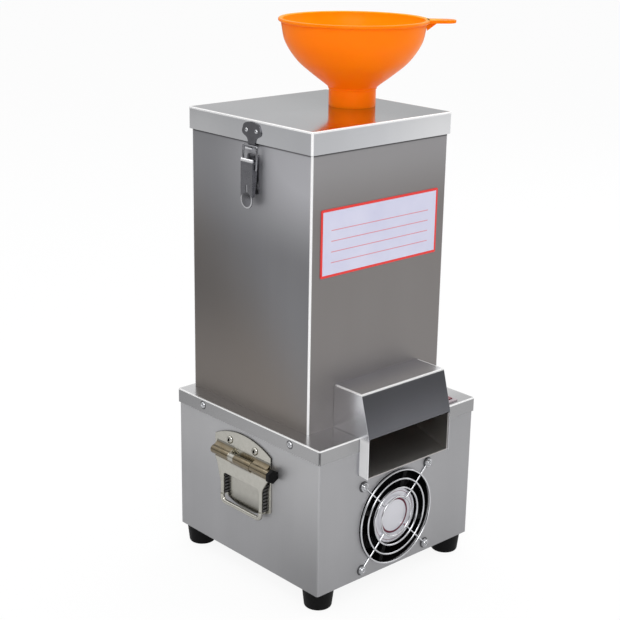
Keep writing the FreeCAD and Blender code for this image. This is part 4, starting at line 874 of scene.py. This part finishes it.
def add_tab(mesh):
    """A flat tab with a round nose and a rib under its root, turned to where the tab points."""
    middle = TAB_END - TAB_NOSE
    outline = [(RIM_RADIUS - 3, -TAB_ROOT), (middle, -TAB_NOSE)]
    for step in range(1, 12):
        angle = math.radians(-90 + 15 * step)
        outline.append((middle + TAB_NOSE * math.cos(angle), TAB_NOSE * math.sin(angle)))
    outline += [(middle, TAB_NOSE), (RIM_RADIUS - 3, TAB_ROOT)]
    push_outline(mesh, outline, lambda p: Vector((p[0], p[1], RIM_TOP - TAB_THICKNESS)),
                 (0, 0, TAB_THICKNESS))
    rib = [(RIM_RADIUS - 5, RIM_TOP - 3), (RIM_RADIUS + 10, RIM_TOP - 3),
           (RIM_RADIUS - 3, RIM_TOP - 13)]
    push_outline(mesh, rib, lambda p: Vector((p[0], -1.2, p[1])), (0, 2.4, 0))
    bmesh.ops.bevel(mesh, geom=mesh.edges[:], offset=0.7, segments=3, affect="EDGES", profile=0.5)
    turn = Matrix.Rotation(math.radians(TAB_TURN), 3, "Z")
    for vertex in mesh.verts:
        vertex.co = turn @ vertex.co + Vector((FUNNEL_AXIS[0], FUNNEL_AXIS[1], 0))


def feed_funnel():
    mesh = bmesh.new()
    add_tab(mesh)
    outer = through(BOWL)
    top = BOWL[-1][1]
    depth = top - BOWL[0][1]
    inner = [Vector((p.x - FUNNEL_WALL, p.y + (top - p.y) / depth)) for p in outer]
    low = [(22.6, 519.0), (24.0, 519.0), (24.6, 519.8), (24.6, 541.0), (26.8, 541.0), (27.3, 541.6)]
    bead = [(27.3, 560.2), (28.0, 560.9), (28.3, 561.8), (28.2, 562.8)]
    rim = [(83.2, 635.8), (83.9, 636.5), (85.6, 636.5), (86.3, 637.2), (86.5, 638.3), (86.3, 639.3),
           (85.6, 640.0), (82.6, 640.0), (81.4, 639.2)]
    outline = low + bead + outer[2:] + rim + inner[::-1] + [(22.6, 556.0)]
    turn_outline(mesh, outline, FUNNEL_AXIS, 128)
    return piece("feed_funnel_moulded", mesh, ORANGE, "funnel",
                 ("feed_funnel",), 40)


print("funnel points:", len(feed_funnel().data.vertices))

# %% [markdown]
# Screws, rivets and feet repeat, so Geometry Nodes set them. One shape is instanced on points, each
# point holds the direction in which its shape stands, and a seeded random turn keeps the recesses
# from lining up. The shape's own size is one named input, so one tree serves every kind.

# %% A tree that sets a shape on points
FULL_TURN = 6.283


def new_group(name, inputs):
    """An empty geometry tree with these inputs, their kinds, and one geometry output."""
    group = bpy.data.node_groups.new(name, "GeometryNodeTree")
    for label, kind in inputs.items():
        group.interface.new_socket(label, in_out="INPUT", socket_type="NodeSocket" + kind)
    group.interface.new_socket("Mesh", in_out="OUTPUT", socket_type="NodeSocketGeometry")
    tree = Tree(group)
    return group, tree, tree.add("NodeGroupInput").outputs


def end_tree(tree, geometry, finish):
    """Makes the instances real, gives them their finish and sends them out."""
    real = tree.add("GeometryNodeRealizeInstances", None, {0: geometry})
    painted = tree.add("GeometryNodeSetMaterial", None,
                       {"Geometry": real.outputs[0], "Material": finish})
    tree.add("NodeGroupOutput", None, {0: painted.outputs[0]})


def fixings_tree():
    group, tree, given = new_group("fixings", {"Places": "Geometry", "Shape": "Object",
                                               "Size": "Float", "Turn": "Float", "Seed": "Int",
                                               "Finish": "Material"})
    outward = tree.add("GeometryNodeInputNamedAttribute", {"data_type": "FLOAT_VECTOR"},
                       {"Name": "outward"})
    stand = tree.add("FunctionNodeAlignRotationToVector", {"axis": "Z"},
                     {"Vector": outward.outputs["Attribute"]})
    chance = tree.add("FunctionNodeRandomValue", {"data_type": "FLOAT"},
                      {2: 0.0, 3: given["Turn"], "Seed": given["Seed"]})
    spin = tree.add("FunctionNodeAxisAngleToRotation", None,
                    {"Axis": (0, 0, 1), "Angle": chance.outputs[1]})
    turned = tree.add("FunctionNodeRotateRotation", {"rotation_space": "LOCAL"},
                      {0: stand.outputs[0], 1: spin.outputs[0]})
    shape = tree.add("GeometryNodeObjectInfo", None, {"Object": given["Shape"]})
    size = tree.add("ShaderNodeCombineXYZ", None, {axis: given["Size"] for axis in range(3)})
    copies = tree.add("GeometryNodeInstanceOnPoints", None,
                      {"Points": given["Places"], "Instance": shape.outputs["Geometry"],
                       "Rotation": turned.outputs[0], "Scale": size.outputs[0]})
    end_tree(tree, copies.outputs[0], given["Finish"])
    return group


def run_tree(made, group, values):
    """Runs a geometry tree on an object with the given input values, and keeps the plain mesh."""
    modifier = made.modifiers.new(group.name, "NODES")
    modifier.node_group = group
    for item in group.interface.items_tree:
        if item.in_out == "INPUT" and item.name in values:
            modifier[item.identifier] = values[item.name]
    return baked(made)


FIXINGS = fixings_tree()


def set_fixings(name, shape_mesh, places, size, finish, body, replaces, turn=FULL_TURN,
                seed=1):
    """Sets copies of a shape at places, which is a list of (point, direction)."""
    data = bpy.data.meshes.new(name)
    data.from_pydata([point for point, direction in places], [], [])
    directions = data.attributes.new("outward", "FLOAT_VECTOR", "POINT")
    for index, (point, direction) in enumerate(places):
        directions.data[index].vector = direction
    shape_data = bpy.data.meshes.new("shape")
    bmesh.ops.recalc_face_normals(shape_mesh, faces=shape_mesh.faces)
    shape_mesh.to_mesh(shape_data)
    shape_mesh.free()
    shape = add_mesh("shape", shape_data)
    made = run_tree(add_mesh(name, data), FIXINGS, {"Shape": shape, "Size": size, "Turn": turn,
                                                    "Seed": seed, "Finish": finish})
    bpy.data.objects.remove(shape)
    return piece(name, made, finish, body, replaces)


# %% [markdown]
# A domed screw head is turned from an outline with the shank below it. A cross is then pressed into
# the dome: points that lie in one of its two arms move down, more towards the middle. A rivet has a
# plain dome, and the handle's hollow rivets have a round dimple.

# %% Screws and rivets
def dome(shank, depth, rise, dimple=None):
    """The outline of a head of radius 1 whose underside is at height 0."""
    points = [(0.0, -depth), (shank, -depth), (shank, 0.0), (0.94, 0.0), (1.0, 0.06)]
    rim = 0.0
    floor = []
    if dimple:
        rim = dimple
        floor = [(dimple * 0.85, rise * 0.75), (dimple * 0.8, rise * 0.3), (0.0, rise * 0.2)]
    steps = 8
    for step in range(1, steps):
        reach = 1.0 - (1.0 - rim) * step / steps
        points.append((reach, 0.06 + (rise - 0.06) * math.sqrt(1 - reach ** 2)))
    if not dimple:
        points.append((0.0, rise))
    return points + floor


def head_mesh(outline, cross=0.0, steps=28):
    mesh = bmesh.new()
    turn_outline(mesh, outline, (0, 0), steps)
    if cross:
        for vertex in mesh.verts:
            x, y, z = vertex.co
            reach = math.hypot(x, y)
            if z > 0.1 and reach < 0.6 and min(abs(x), abs(y)) < 0.13:
                vertex.co.z -= cross * (1 - reach / 0.75)
    return mesh


def side_places(x, spots):
    """The same (y, z) spots on the left and the right side."""
    return [((side * x, y, z), (side, 0, 0)) for side in (-1, 1) for y, z in spots]


def front_places(y, spots):
    """The (x, z) spots on the front wall."""
    return [((x, y, z), (0, -1, 0)) for x, z in spots]


CROSS_DEPTH = 0.3
SCREW_HEAD = 3.9
RIVET_HEAD = 2.39
HANDLE_RIVET_HEAD = 4.87
COVER_SPOTS = [(side * COVER_SCREW[0], COVER_SCREW[1]) for side in (-1, 1)]
HANDLE_SPOTS = [(HANDLE_Y + side * HANDLE_SCREW[0], HANDLE_SCREW[1]) for side in (-1, 1)]
LATCH_SPOTS = [(LATCH_Y, 465.0), (LATCH_Y, 477.0)]
KEEPER_SPOTS = [(LATCH_Y + side * 8.25, 529.0) for side in (-1, 1)]
FAN_SPOTS = [(FAN_MIDDLE[0] + a * FAN_SCREW_REACH, FAN_MIDDLE[1] + b * FAN_SCREW_REACH)
             for a in (-1, 1) for b in (-1, 1)]
HEADS = [
    ("cover_screws", "crossed", dome(0.51, 2.3, 0.56), side_places(COVER_HALF, COVER_SPOTS),
     SCREW_HEAD, ZINC, "machine"),
    ("handle_screws", "hollow", dome(0.51, 1.84, 0.56, 0.42), side_places(127.0, HANDLE_SPOTS),
     HANDLE_RIVET_HEAD, NICKEL, "machine"),
    ("latch_rivets", "domed", dome(0.6, 0.9, 0.58), side_places(106.2, LATCH_SPOTS),
     RIVET_HEAD, ZINC, "machine"),
    ("keeper_rivets", "domed", dome(0.6, 0.9, 0.58), side_places(108.7, KEEPER_SPOTS),
     RIVET_HEAD, ZINC, "lid"),
    ("fan_screws", "crossed", dome(0.51, 3.7, 0.56), front_places(-128.0, FAN_SPOTS),
     SCREW_HEAD, ZINC, "machine"),
]
for seed, (node, kind, outline, places, size, finish, body) in enumerate(HEADS, 3):
    head = head_mesh(outline, CROSS_DEPTH if kind == "crossed" else 0.0)
    set_fixings(node + "_" + kind, head, places, size, finish, body, (node,),
                seed=seed)
print("heads set:", sum(len(row[3]) for row in HEADS))

# %% [markdown]
# Each fan screw has a plain washer under it, stamped from sheet, with a slightly rounded edge.

# %% Fan washers
def washer_mesh():
    mesh = bmesh.new()
    outline = rounded([(2.06, 0.0), (5.2, 0.0), (5.2, 0.8), (2.06, 0.8)], 0.25, 2)
    turn_outline(mesh, outline, (0, 0), 32)
    return mesh


set_fixings("fan_washers_stamped", washer_mesh(), front_places(-127.2, FAN_SPOTS), 1.0, ZINC,
            "machine", ("fan_washers",))
print("washers set:", len(FAN_SPOTS))

# %% [markdown]
# The feet are turned rubber, narrower at the ground, with a rounded lower edge and a recess for the
# screw. Four copies stand on the corners by the same tree.

# %% Rubber feet
def foot_mesh():
    mesh = bmesh.new()
    corners = [(2.6, 6.0), (7.0, 6.0), (7.0, 0.0), (15.8, 0.0), (18.5, 23.0), (2.6, 23.0)]
    outline = rounded(corners, [0, 0.6, 0.8, 2.6, 0.6, 0], 5)
    turn_outline(mesh, outline, (0, 0), 56)
    return mesh


FOOT_REACH = 106.5
FOOT_PLACES = [((a * FOOT_REACH, b * FOOT_REACH, 0), (0, 0, 1)) for a in (-1, 1) for b in (-1, 1)]
set_fixings("rubber_feet_turned", foot_mesh(), FOOT_PLACES, 1.0, RUBBER, "machine",
            ("rubber_feet",))
print("feet set:", len(FOOT_PLACES))

# %% [markdown]
# The fan's guard is bent and welded from one gauge of chromed wire: four rings on four slanting
# struts, each strut ending in an eye for its screw. Its sizes follow a rule, so a tree draws it.
# Rings are one circle, instanced and shrunk by one pitch each time; a strut and its eye are drawn
# once and turned four times; and all of it becomes wire in the last step, so the gauge stays even.

# %% Wire guard
GUARD_SIZES = {"Rings": 4, "Outer Radius": 57.0, "Pitch": 10.9, "Wire": 1.1, "Eye Reach": 74.1,
               "Eye Radius": 3.7, "Ring Lift": 1.76}


def guard_tree():
    inputs = {"Start": "Geometry"}
    for name in GUARD_SIZES:
        inputs[name] = "Int" if name == "Rings" else "Float"
    inputs["Finish"] = "Material"
    group, tree, given = new_group("wire_guard", inputs)
    size = {name: Number(tree, given[name]) for name in GUARD_SIZES}

    def copied(curve, count, rotation=(0, 0, 0), scale=(1, 1, 1)):
        points = tree.add("GeometryNodeMeshLine", None, {"Count": count, "Offset": (0, 0, 0)})
        made = tree.add("GeometryNodeInstanceOnPoints", None,
                        {"Points": points.outputs[0], "Instance": curve, "Rotation": rotation,
                         "Scale": scale})
        return tree.add("GeometryNodeRealizeInstances", None, {0: made.outputs[0]}).outputs[0]

    def moved(curve, x, z):
        place = tree.add("ShaderNodeCombineXYZ", None, {0: x, 2: z})
        return tree.add("GeometryNodeTransform", None,
                        {"Geometry": curve, "Translation": place.outputs[0]}).outputs[0]

    index = Number(tree, tree.add("GeometryNodeInputIndex").outputs[0])
    circle = tree.add("GeometryNodeCurvePrimitiveCircle", None,
                      {"Resolution": 72, "Radius": size["Outer Radius"]})
    share = 1 - index * size["Pitch"] / size["Outer Radius"]
    smaller = tree.add("ShaderNodeCombineXYZ", None, {0: share, 1: share, 2: share})
    rings = copied(circle.outputs[0], size["Rings"], scale=smaller.outputs[0])
    inner = size["Outer Radius"] - size["Pitch"] * (size["Rings"] - 1)
    start = tree.add("ShaderNodeCombineXYZ", None, {0: inner - size["Wire"]})
    end = tree.add("ShaderNodeCombineXYZ", None, {0: size["Eye Reach"] - size["Eye Radius"]})
    strut = tree.add("GeometryNodeCurvePrimitiveLine", None, {"Start": start.outputs[0],
                                                              "End": end.outputs[0]})
    eye = tree.add("GeometryNodeCurvePrimitiveCircle", None, {"Resolution": 28,
                                                              "Radius": size["Eye Radius"]})
    arm = tree.add("GeometryNodeJoinGeometry")
    tree.give(arm.inputs[0], strut.outputs[0])
    tree.give(arm.inputs[0], moved(eye.outputs[0], size["Eye Reach"], 0.0))
    quarter = index * math.radians(90) + math.radians(45)
    turned = tree.add("ShaderNodeCombineXYZ", None, {2: quarter})
    arms = copied(arm.outputs[0], 4, rotation=turned.outputs[0])
    wires = tree.add("GeometryNodeJoinGeometry")
    tree.give(wires.inputs[0], moved(rings, 0.0, size["Ring Lift"]))
    tree.give(wires.inputs[0], arms)
    section = tree.add("GeometryNodeCurvePrimitiveCircle", None, {"Resolution": 12,
                                                                  "Radius": size["Wire"]})
    wire = tree.add("GeometryNodeCurveToMesh", None, {"Curve": wires.outputs[0],
                                                      "Profile Curve": section.outputs[0],
                                                      "Fill Caps": True})
    end_tree(tree, wire.outputs[0], given["Finish"])
    return group


def wire_guard():
    empty = add_mesh("wire_guard", bpy.data.meshes.new("wire_guard"))
    made = run_tree(empty, guard_tree(), {**GUARD_SIZES, "Finish": CHROME})
    made.data.transform(turned_to((FAN_MIDDLE[0], -126.1, FAN_MIDDLE[1]), 90, "X"))
    return piece("wire_guard", made, CHROME, "machine", ("fan_guard",), 60)


print("guard points:", len(wire_guard().data.vertices))

# %% [markdown]
# A thin silver disc covers the fan's hub. Fine turned rings catch the light.

# %% Hub disc
def hub_disc():
    mesh = bmesh.new()
    outline = rounded([(0.0, 0.0), (33.2, 0.0), (33.2, 0.35), (0.0, 0.35)], [0, 0, 0.15, 0], 2)
    turn_outline(mesh, outline, (0, 0), 72)
    mesh.transform(turned_to((FAN_MIDDLE[0], -123.8, FAN_MIDDLE[1]), 90, "X"))
    return piece("hub_disc", mesh, HUB, "machine")


print("hub disc points:", len(hub_disc().data.vertices))

# %% [markdown]
# Stamped parts are flat sheet with holes and rolled edges. A filled 2-D curve gives exactly that:
# its inner outlines become holes, its bevel rounds every edge, and it is laid against a side of the
# machine with one matrix. Rods and bars are curves too, with a round section along a rounded path.

# %% Helpers for stamped sheet and bent rod
def drawn(lines, closed, settings):
    """The plain mesh of a curve with one spline for each line of points."""
    curve = bpy.data.curves.new("drawn", "CURVE")
    for name, value in settings.items():
        setattr(curve, name, value)
    for line in lines:
        spline = curve.splines.new("POLY")
        spline.points.add(len(line) - 1)
        for point, spot in zip(spline.points, line):
            point.co = (*spot, 1)
        spline.use_cyclic_u = closed
    made = add_mesh("drawn", curve)
    seen = made.evaluated_get(bpy.context.evaluated_depsgraph_get())
    data = bpy.data.meshes.new_from_object(seen)
    bpy.data.objects.remove(made)
    return data


def stamped(outlines, thickness, edge, x):
    """A sheet in the plane of the side walls, centred on x. Outlines are lists of (y, z)."""
    data = drawn([[(y, z, 0) for y, z in outline] for outline in outlines], True,
                 {"dimensions": "2D", "fill_mode": "BOTH", "extrude": thickness / 2 - edge,
                  "bevel_depth": edge, "bevel_resolution": 2, "offset": -edge})
    data.transform(Matrix(((0, 0, 1, x), (1, 0, 0, 0), (0, 1, 0, 0), (0, 0, 0, 1))))
    return data


def bent_rod(points, radius, bend, steps=6):
    """A rod along a path whose corners are rounded."""
    path = [points[0]]
    for before, corner, after in zip(points, points[1:], points[2:]):
        corner = Vector(corner)
        start = corner + (Vector(before) - corner).normalized() * bend
        end = corner + (Vector(after) - corner).normalized() * bend
        for step in range(steps + 1):
            t = step / steps
            path.append(start * (1 - t) ** 2 + corner * (2 * t * (1 - t)) + end * t ** 2)
    path.append(points[-1])
    return drawn([path], False, {"dimensions": "3D", "bevel_depth": radius, "bevel_resolution": 4,
                                 "use_fill_caps": True})


def gathered(parts):
    """Several meshes or bmeshes as one bmesh."""
    mesh = bmesh.new()
    for part in parts:
        if isinstance(part, bmesh.types.BMesh):
            data = bpy.data.meshes.new("part")
            part.to_mesh(data)
            part.free()
        else:
            data = part
        mesh.from_mesh(data)
    return mesh


def mirrored(mesh):
    """The same mesh on the other side of the machine."""
    twin = mesh.copy()
    for vertex in twin.verts:
        vertex.co.x = -vertex.co.x
    return twin


def barrel(low, high, radius, bore, edge, x, z):
    """A tube along y."""
    mesh = bmesh.new()
    outline = rounded([(bore, 0.0), (radius, 0.0), (radius, high - low), (bore, high - low)],
                      [0, edge, edge, 0], 4)
    turn_outline(mesh, outline, (0, 0), 40)
    mesh.transform(turned_to((x, low, z), -90, "X"))
    return mesh


def both_handed(name, mesh, finish, bodies, replaced="", smooth=40.0):
    """The left piece and its mirrored twin."""
    twin = mirrored(mesh)
    for part, side, body in zip((mesh, twin), ("left", "right"), bodies):
        replaces = (replaced + "_" + side,) if replaced else ()
        piece(name + "_" + side, part, finish, body, replaces, smooth)
    print(name, "made for both sides")


# %% [markdown]
# The carrying handle's plate is stamped with an arched top, and it curls out into the two outer
# lengths of the barrel. The curl is pushed along y from a small closed outline. The grip has the
# barrel's middle length, as in any three-part hinge.

# %% Handle plates
HANDLE_AXIS = (-132.6, 149.0)
BARREL = 5.3
BARREL_HALF = 51.0
KNUCKLE_HALF = 19.0
PIN_BORE = 2.6


def arch(half, low, high, steps=24):
    """Points along an arc from (-half, low) over (0, high) to (half, low)."""
    rise = high - low
    radius = (half ** 2 + rise ** 2) / (2 * abs(rise))
    sweep = math.asin(half / radius)
    sign = 1 if rise > 0 else -1
    return [(radius * math.sin(-sweep + 2 * sweep * step / steps),
             high - sign * (radius - radius * math.cos(-sweep + 2 * sweep * step / steps)))
            for step in range(steps + 1)]


def circle(y, z, radius, steps=24):
    angles = [2 * math.pi * step / steps for step in range(steps)]
    return [(y + radius * math.cos(angle), z + radius * math.sin(angle)) for angle in angles]


def handle_plate():
    top = [(HANDLE_Y + y, z) for y, z in arch(50.0, 166.5, 179.0)]
    low = [(HANDLE_Y + 50.0, 141.0)] + [(HANDLE_Y - 6.0 - y, z) for y, z in arch(44.0, 98.0, 87.0)]
    holes = [circle(y, z, 2.6) for y, z in HANDLE_SPOTS]
    parts = [stamped([top + low] + holes, 2.0, 0.5, -126.0)]
    curl = [(-125.4, 147.0), (-125.4, 160.2), (-127.0, 160.2), (-127.7, 158.2), (-129.3, 156.0),
            (-132.6, 154.3), (-135.6, 153.3), (-136.9, 151.6), (-134.6, 148.0)]
    for front, back in ((BARREL_Y - BARREL_HALF, BARREL_Y - KNUCKLE_HALF),
                        (BARREL_Y + KNUCKLE_HALF, BARREL_Y + BARREL_HALF)):
        start = max(front, HANDLE_Y - 50.0) + 0.4
        web = bmesh.new()
        push_outline(web, curl, lambda p: Vector((p[0], start, p[1])), (0, back - 0.4 - start, 0))
        parts += [web, barrel(front, back, BARREL, PIN_BORE, 0.9, *HANDLE_AXIS)]
    both_handed("handle_plate_stamped", gathered(parts), NICKEL, ("machine", "machine"),
                "handle_plate")


handle_plate()

# %% [markdown]
# The grip is one pressed leaf: it curls into the barrel's middle length, narrows below it to two
# legs, and ends in a round bar for the fingers. The bar's ends bend up into the legs.

# %% Handle grips
GRIP_HALF = 37.0
GRIP_LEG = 5.0
GRIP_BAR_Z = 88.0


def handle_grip():
    axis_x, axis_z = HANDLE_AXIS
    half = KNUCKLE_HALF - 0.4
    side = [(half, axis_z), (half, 143.3), (49.0, 143.3), (GRIP_HALF, 125.0), (GRIP_HALF, 86.0)]
    leaf = side + [(-y, z) for y, z in reversed(side)]
    leaf = rounded([(BARREL_Y + y, z) for y, z in leaf], [0, 0, 2.5, 14, 12, 12, 14, 2.5, 0, 0], 8)
    inner = GRIP_HALF - GRIP_LEG
    corners = [(-inner, GRIP_BAR_Z + 2), (-inner, 125.0), (inner, 125.0), (inner, GRIP_BAR_Z + 2)]
    window = rounded([(BARREL_Y + y, z) for y, z in corners], [7, 5, 5, 7], 8)
    parts = [stamped([leaf, window], 2.0, 0.6, axis_x)]
    reach = GRIP_HALF - GRIP_LEG / 2
    bar = [(axis_x, BARREL_Y - reach, 97.0), (axis_x, BARREL_Y - reach, GRIP_BAR_Z),
           (axis_x, BARREL_Y + reach, GRIP_BAR_Z), (axis_x, BARREL_Y + reach, 97.0)]
    parts.append(bent_rod(bar, 2.7, 7.0))
    curl = [(-137.8, 148.0), (-137.3, 145.8), (-135.8, 143.4), (-133.9, 141.6), (-133.5, 139.4),
            (-131.8, 139.4), (-131.8, 147.0)]
    web = bmesh.new()
    push_outline(web, curl, lambda p: Vector((p[0], BARREL_Y - half + 0.3, p[1])),
                 (0, 2 * half - 0.6, 0))
    parts += [web, barrel(BARREL_Y - half, BARREL_Y + half, BARREL, PIN_BORE, 0.9, axis_x, axis_z)]
    both_handed("handle_grip_pressed", gathered(parts), NICKEL, ("grip_left", "grip_right"),
                "handle_grip")


handle_grip()

# %% [markdown]
# The legs come to rest against two rubber strips. Ribs along the strips keep them springy. Each rib
# is a half round bar, set in a row by the same tree as the screws, with no random turn.

# %% Buffer ribs
RIB_COUNT = 9
RIB_PITCH = 4.25


def rib_mesh():
    mesh = bmesh.new()
    outline = [(1.35 * math.cos(math.radians(angle)), math.sin(math.radians(angle)))
               for angle in range(0, 181, 30)]
    push_outline(mesh, outline, lambda p: Vector((-2.1, p[0], p[1])), (4.2, 0, 0))
    return mesh


def buffer_ribs():
    places = []
    for side in (-1, 1):
        for y in (BARREL_Y - GRIP_HALF + GRIP_LEG / 2, BARREL_Y + GRIP_HALF - GRIP_LEG / 2):
            for face in (-1, 1):
                for step in range(RIB_COUNT):
                    point = (side * 129.3, y + face * GRIP_LEG / 2, 99.3 + RIB_PITCH * step)
                    places.append((point, (0, face, 0)))
    set_fixings("buffer_ribs", rib_mesh(), places, 1.0, RIBBED, "machine", (),
                turn=0.0)
    print("ribs:", len(places))


buffer_ribs()

# %% [markdown]
# The keeper on the lid is a small stamped plate with two lobes for its rivets, waisted to a neck. A
# narrow shelf at the foot of the neck is bent out, and the latch's bail sits under its lip.

# %% Keepers
KEEPER_X = -108.1
SHELF_Z = 509.45


def latch_keeper():
    half = [(0.0, 539.2), (13.0, 536.5), (17.2, 525.5), (6.6, 520.5), (5.5, 509.6)]
    outline = half + [(-y, z) for y, z in reversed(half[1:])]
    plate = rounded([(LATCH_Y + y, z) for y, z in outline], [14, 7, 5, 6, 0.3, 0.3, 6, 5, 7], 8)
    both_handed("latch_keeper_stamped", gathered([stamped([plate], 1.2, 0.3, KEEPER_X)]), KEEPER,
                ("lid", "lid"), "latch_keeper")
    # The shelf is bent from the keeper's own sheet but gets the brighter chrome finish, as a painted
    # highlight.
    shelf = bmesh.new()
    outline = [(-107.6, SHELF_Z), (-112.9, SHELF_Z), (-113.0, SHELF_Z + 1.0), (-112.6, SHELF_Z + 1.6),
               (-111.9, SHELF_Z + 1.2), (-107.6, SHELF_Z + 1.2)]
    push_outline(shelf, outline, lambda p: Vector((p[0], LATCH_Y - 5.5, p[1])), (0, 11.0, 0))
    both_handed("keeper_shelf", shelf, CHROME, ("lid", "lid"), smooth=35.0)


latch_keeper()

# %% [markdown]
# The latch's bail is spring wire, bent into a loop that turns in the lever and hooks over the
# keeper.

# %% Latch bails
BAIL_REACH = 11.45
BAIL_EYE = (-111.3, 487.0)
BAIL_HOOK = (-110.1, 512.5)


def latch_bail():
    half = [(8.9, BAIL_EYE), (BAIL_REACH, BAIL_EYE), (BAIL_REACH, BAIL_HOOK)]
    points = [(x, LATCH_Y - reach, z) for reach, (x, z) in half]
    points += [(x, LATCH_Y + reach, z) for reach, (x, z) in reversed(half)]
    both_handed("latch_bail_bent", gathered([bent_rod(points, 1.25, 1.3)]), BAIL,
                ("bail_left", "bail_right"), "latch_bail")


latch_bail()

# %% [markdown]
# The finger end of the lever is dished, so that a fingertip finds it. The dish is a shallow cap on
# the flat tab.

# %% Finger dish
DISH_RADIUS = 8.6
DISH_RISE = 1.1


def finger_dish(steps=8):
    mesh = bmesh.new()
    outline = [(0.0, 0.0), (DISH_RADIUS, 0.0)]
    for step in range(1, steps + 1):
        reach = DISH_RADIUS * (1 - step / steps)
        outline.append((reach, DISH_RISE * (1 - (reach / DISH_RADIUS) ** 2) ** 0.8))
    turn_outline(mesh, outline, (0, 0), 40)
    mesh.transform(turned_to((-115.5, LATCH_Y, FINGER_Z), -90, "Y"))
    both_handed("finger_dish", mesh, LATCH, ("lever_left", "lever_right"),
                smooth=35.0)


finger_dish()

# %% [markdown]
# A product photograph is lit softly: one large lamp above and to the left, a weaker one to the
# right and a wide one overhead, with a pale floor that throws light back up. Steel shows what is
# around it, so the surroundings matter as much as the lamps: white behind the machine and a
# quieter grey in front of it give the walls their tone. The camera itself sees only white there.

# %% Floor, lamps and surroundings
FLOOR_RADIUS = 9.0


def floor():
    """A pale matt floor that the camera sees nearly white. Steel mirrors it brighter or darker by
    how far off it is, with a darker card to the machine's left."""
    mesh = bmesh.new()
    bmesh.ops.create_circle(mesh, cap_ends=True, segments=96, radius=FLOOR_RADIUS)
    data = bpy.data.meshes.new("studio_floor")
    mesh.to_mesh(data)
    mesh.free()
    made = add_mesh("studio_floor", data)
    made.location.z = -0.0003
    look = Look("studio_floor", Roughness=0.9)
    look.shader.inputs["Specular IOR Level"].default_value = 0.1
    look.colour(tone(240, 240, 241))
    x, y, z = look.place()
    reach = (x * x + y * y).root()
    across = x * 0.70 + y * 0.64
    card = (y - x).rise(100.0, 500.0) * across.rise(-170.0, 110.0)
    shine = 0.80 - reach.rise(480.0, 760.0) * 0.22 + reach.rise(1100.0, 1750.0) * 0.34
    shine = shine - (1 - reach.rise(220.0, 430.0)) * 0.35 - reach.rise(3300.0, 4300.0) * 0.8
    shine = shine * (1 - card * 0.62)
    path = look.add("ShaderNodeLightPath")
    seen = look.number(path, "Is Camera Ray")
    glossy = look.number(path, "Is Glossy Ray")
    mirrored_view = glossy.larger(look.number(path, "Is Transmission Ray"))
    glow = look.add("ShaderNodeEmission", None, {"Color": (1, 1, 1, 1),
                                                 "Strength": seen.larger(mirrored_view * shine)})
    far = reach.rise(3200.0, 4200.0)
    share = (seen * 0.9).larger(mirrored_view * (0.6 + far * 0.4))
    both = look.add("ShaderNodeMixShader", None, {0: share, 1: look.shader.outputs[0],
                                                  2: glow.outputs[0]})
    output = look.tree.nodes["Material Output"]
    look.give(output.inputs["Surface"], both.outputs[0])
    data.materials.append(look.material)


def lamp(name, place, target, size, power):
    light = bpy.data.lights.new(name, "AREA")
    light.shape = "RECTANGLE"
    light.size, light.size_y = size
    light.energy = power
    made = bpy.data.objects.new(name, light)
    made.location = place
    made.rotation_euler = (Vector(place) - Vector(target)).to_track_quat("Z", "Y").to_euler()
    bpy.context.scene.collection.objects.link(made)


def surroundings():
    """Grey in front of the machine and white behind and above it."""
    world = bpy.data.worlds.new("studio")
    world.use_nodes = True
    bpy.context.scene.world = world
    tree = Tree(world.node_tree)
    background = world.node_tree.nodes["Background"]
    coordinates = tree.add("ShaderNodeTexCoord")
    split = tree.add("ShaderNodeSeparateXYZ", None, {0: coordinates.outputs["Generated"]})
    x, y, z = [tree.number(split, index) for index in range(3)]
    behind = (x * 0.68 + y * 0.73).rise(-0.35, 0.6)
    raised = z.rise(0.1, 0.34)
    overhead = z.rise(0.3, 0.65)
    level = (0.16 + raised * 0.28 + behind * 0.38 + overhead * 0.34).smaller(1.0)
    tree.give(background.inputs["Color"], (1.0, 1.0, 1.0, 1.0))
    seen = tree.number(tree.add("ShaderNodeLightPath"))
    tree.give(background.inputs["Strength"], level.larger(seen))


floor()
surroundings()
lamp("key_softbox", (-1.5, -1.7, 1.9), (0, 0, 0.35), (1.7, 1.7), 29.0)
lamp("fill_softbox", (2.1, -0.2, 1.5), (0, 0, 0.3), (2.0, 2.0), 14.0)
lamp("top_softbox", (0.1, 0.4, 2.3), (0, 0, 0.3), (2.4, 2.4), 14.0)
print("studio ready")
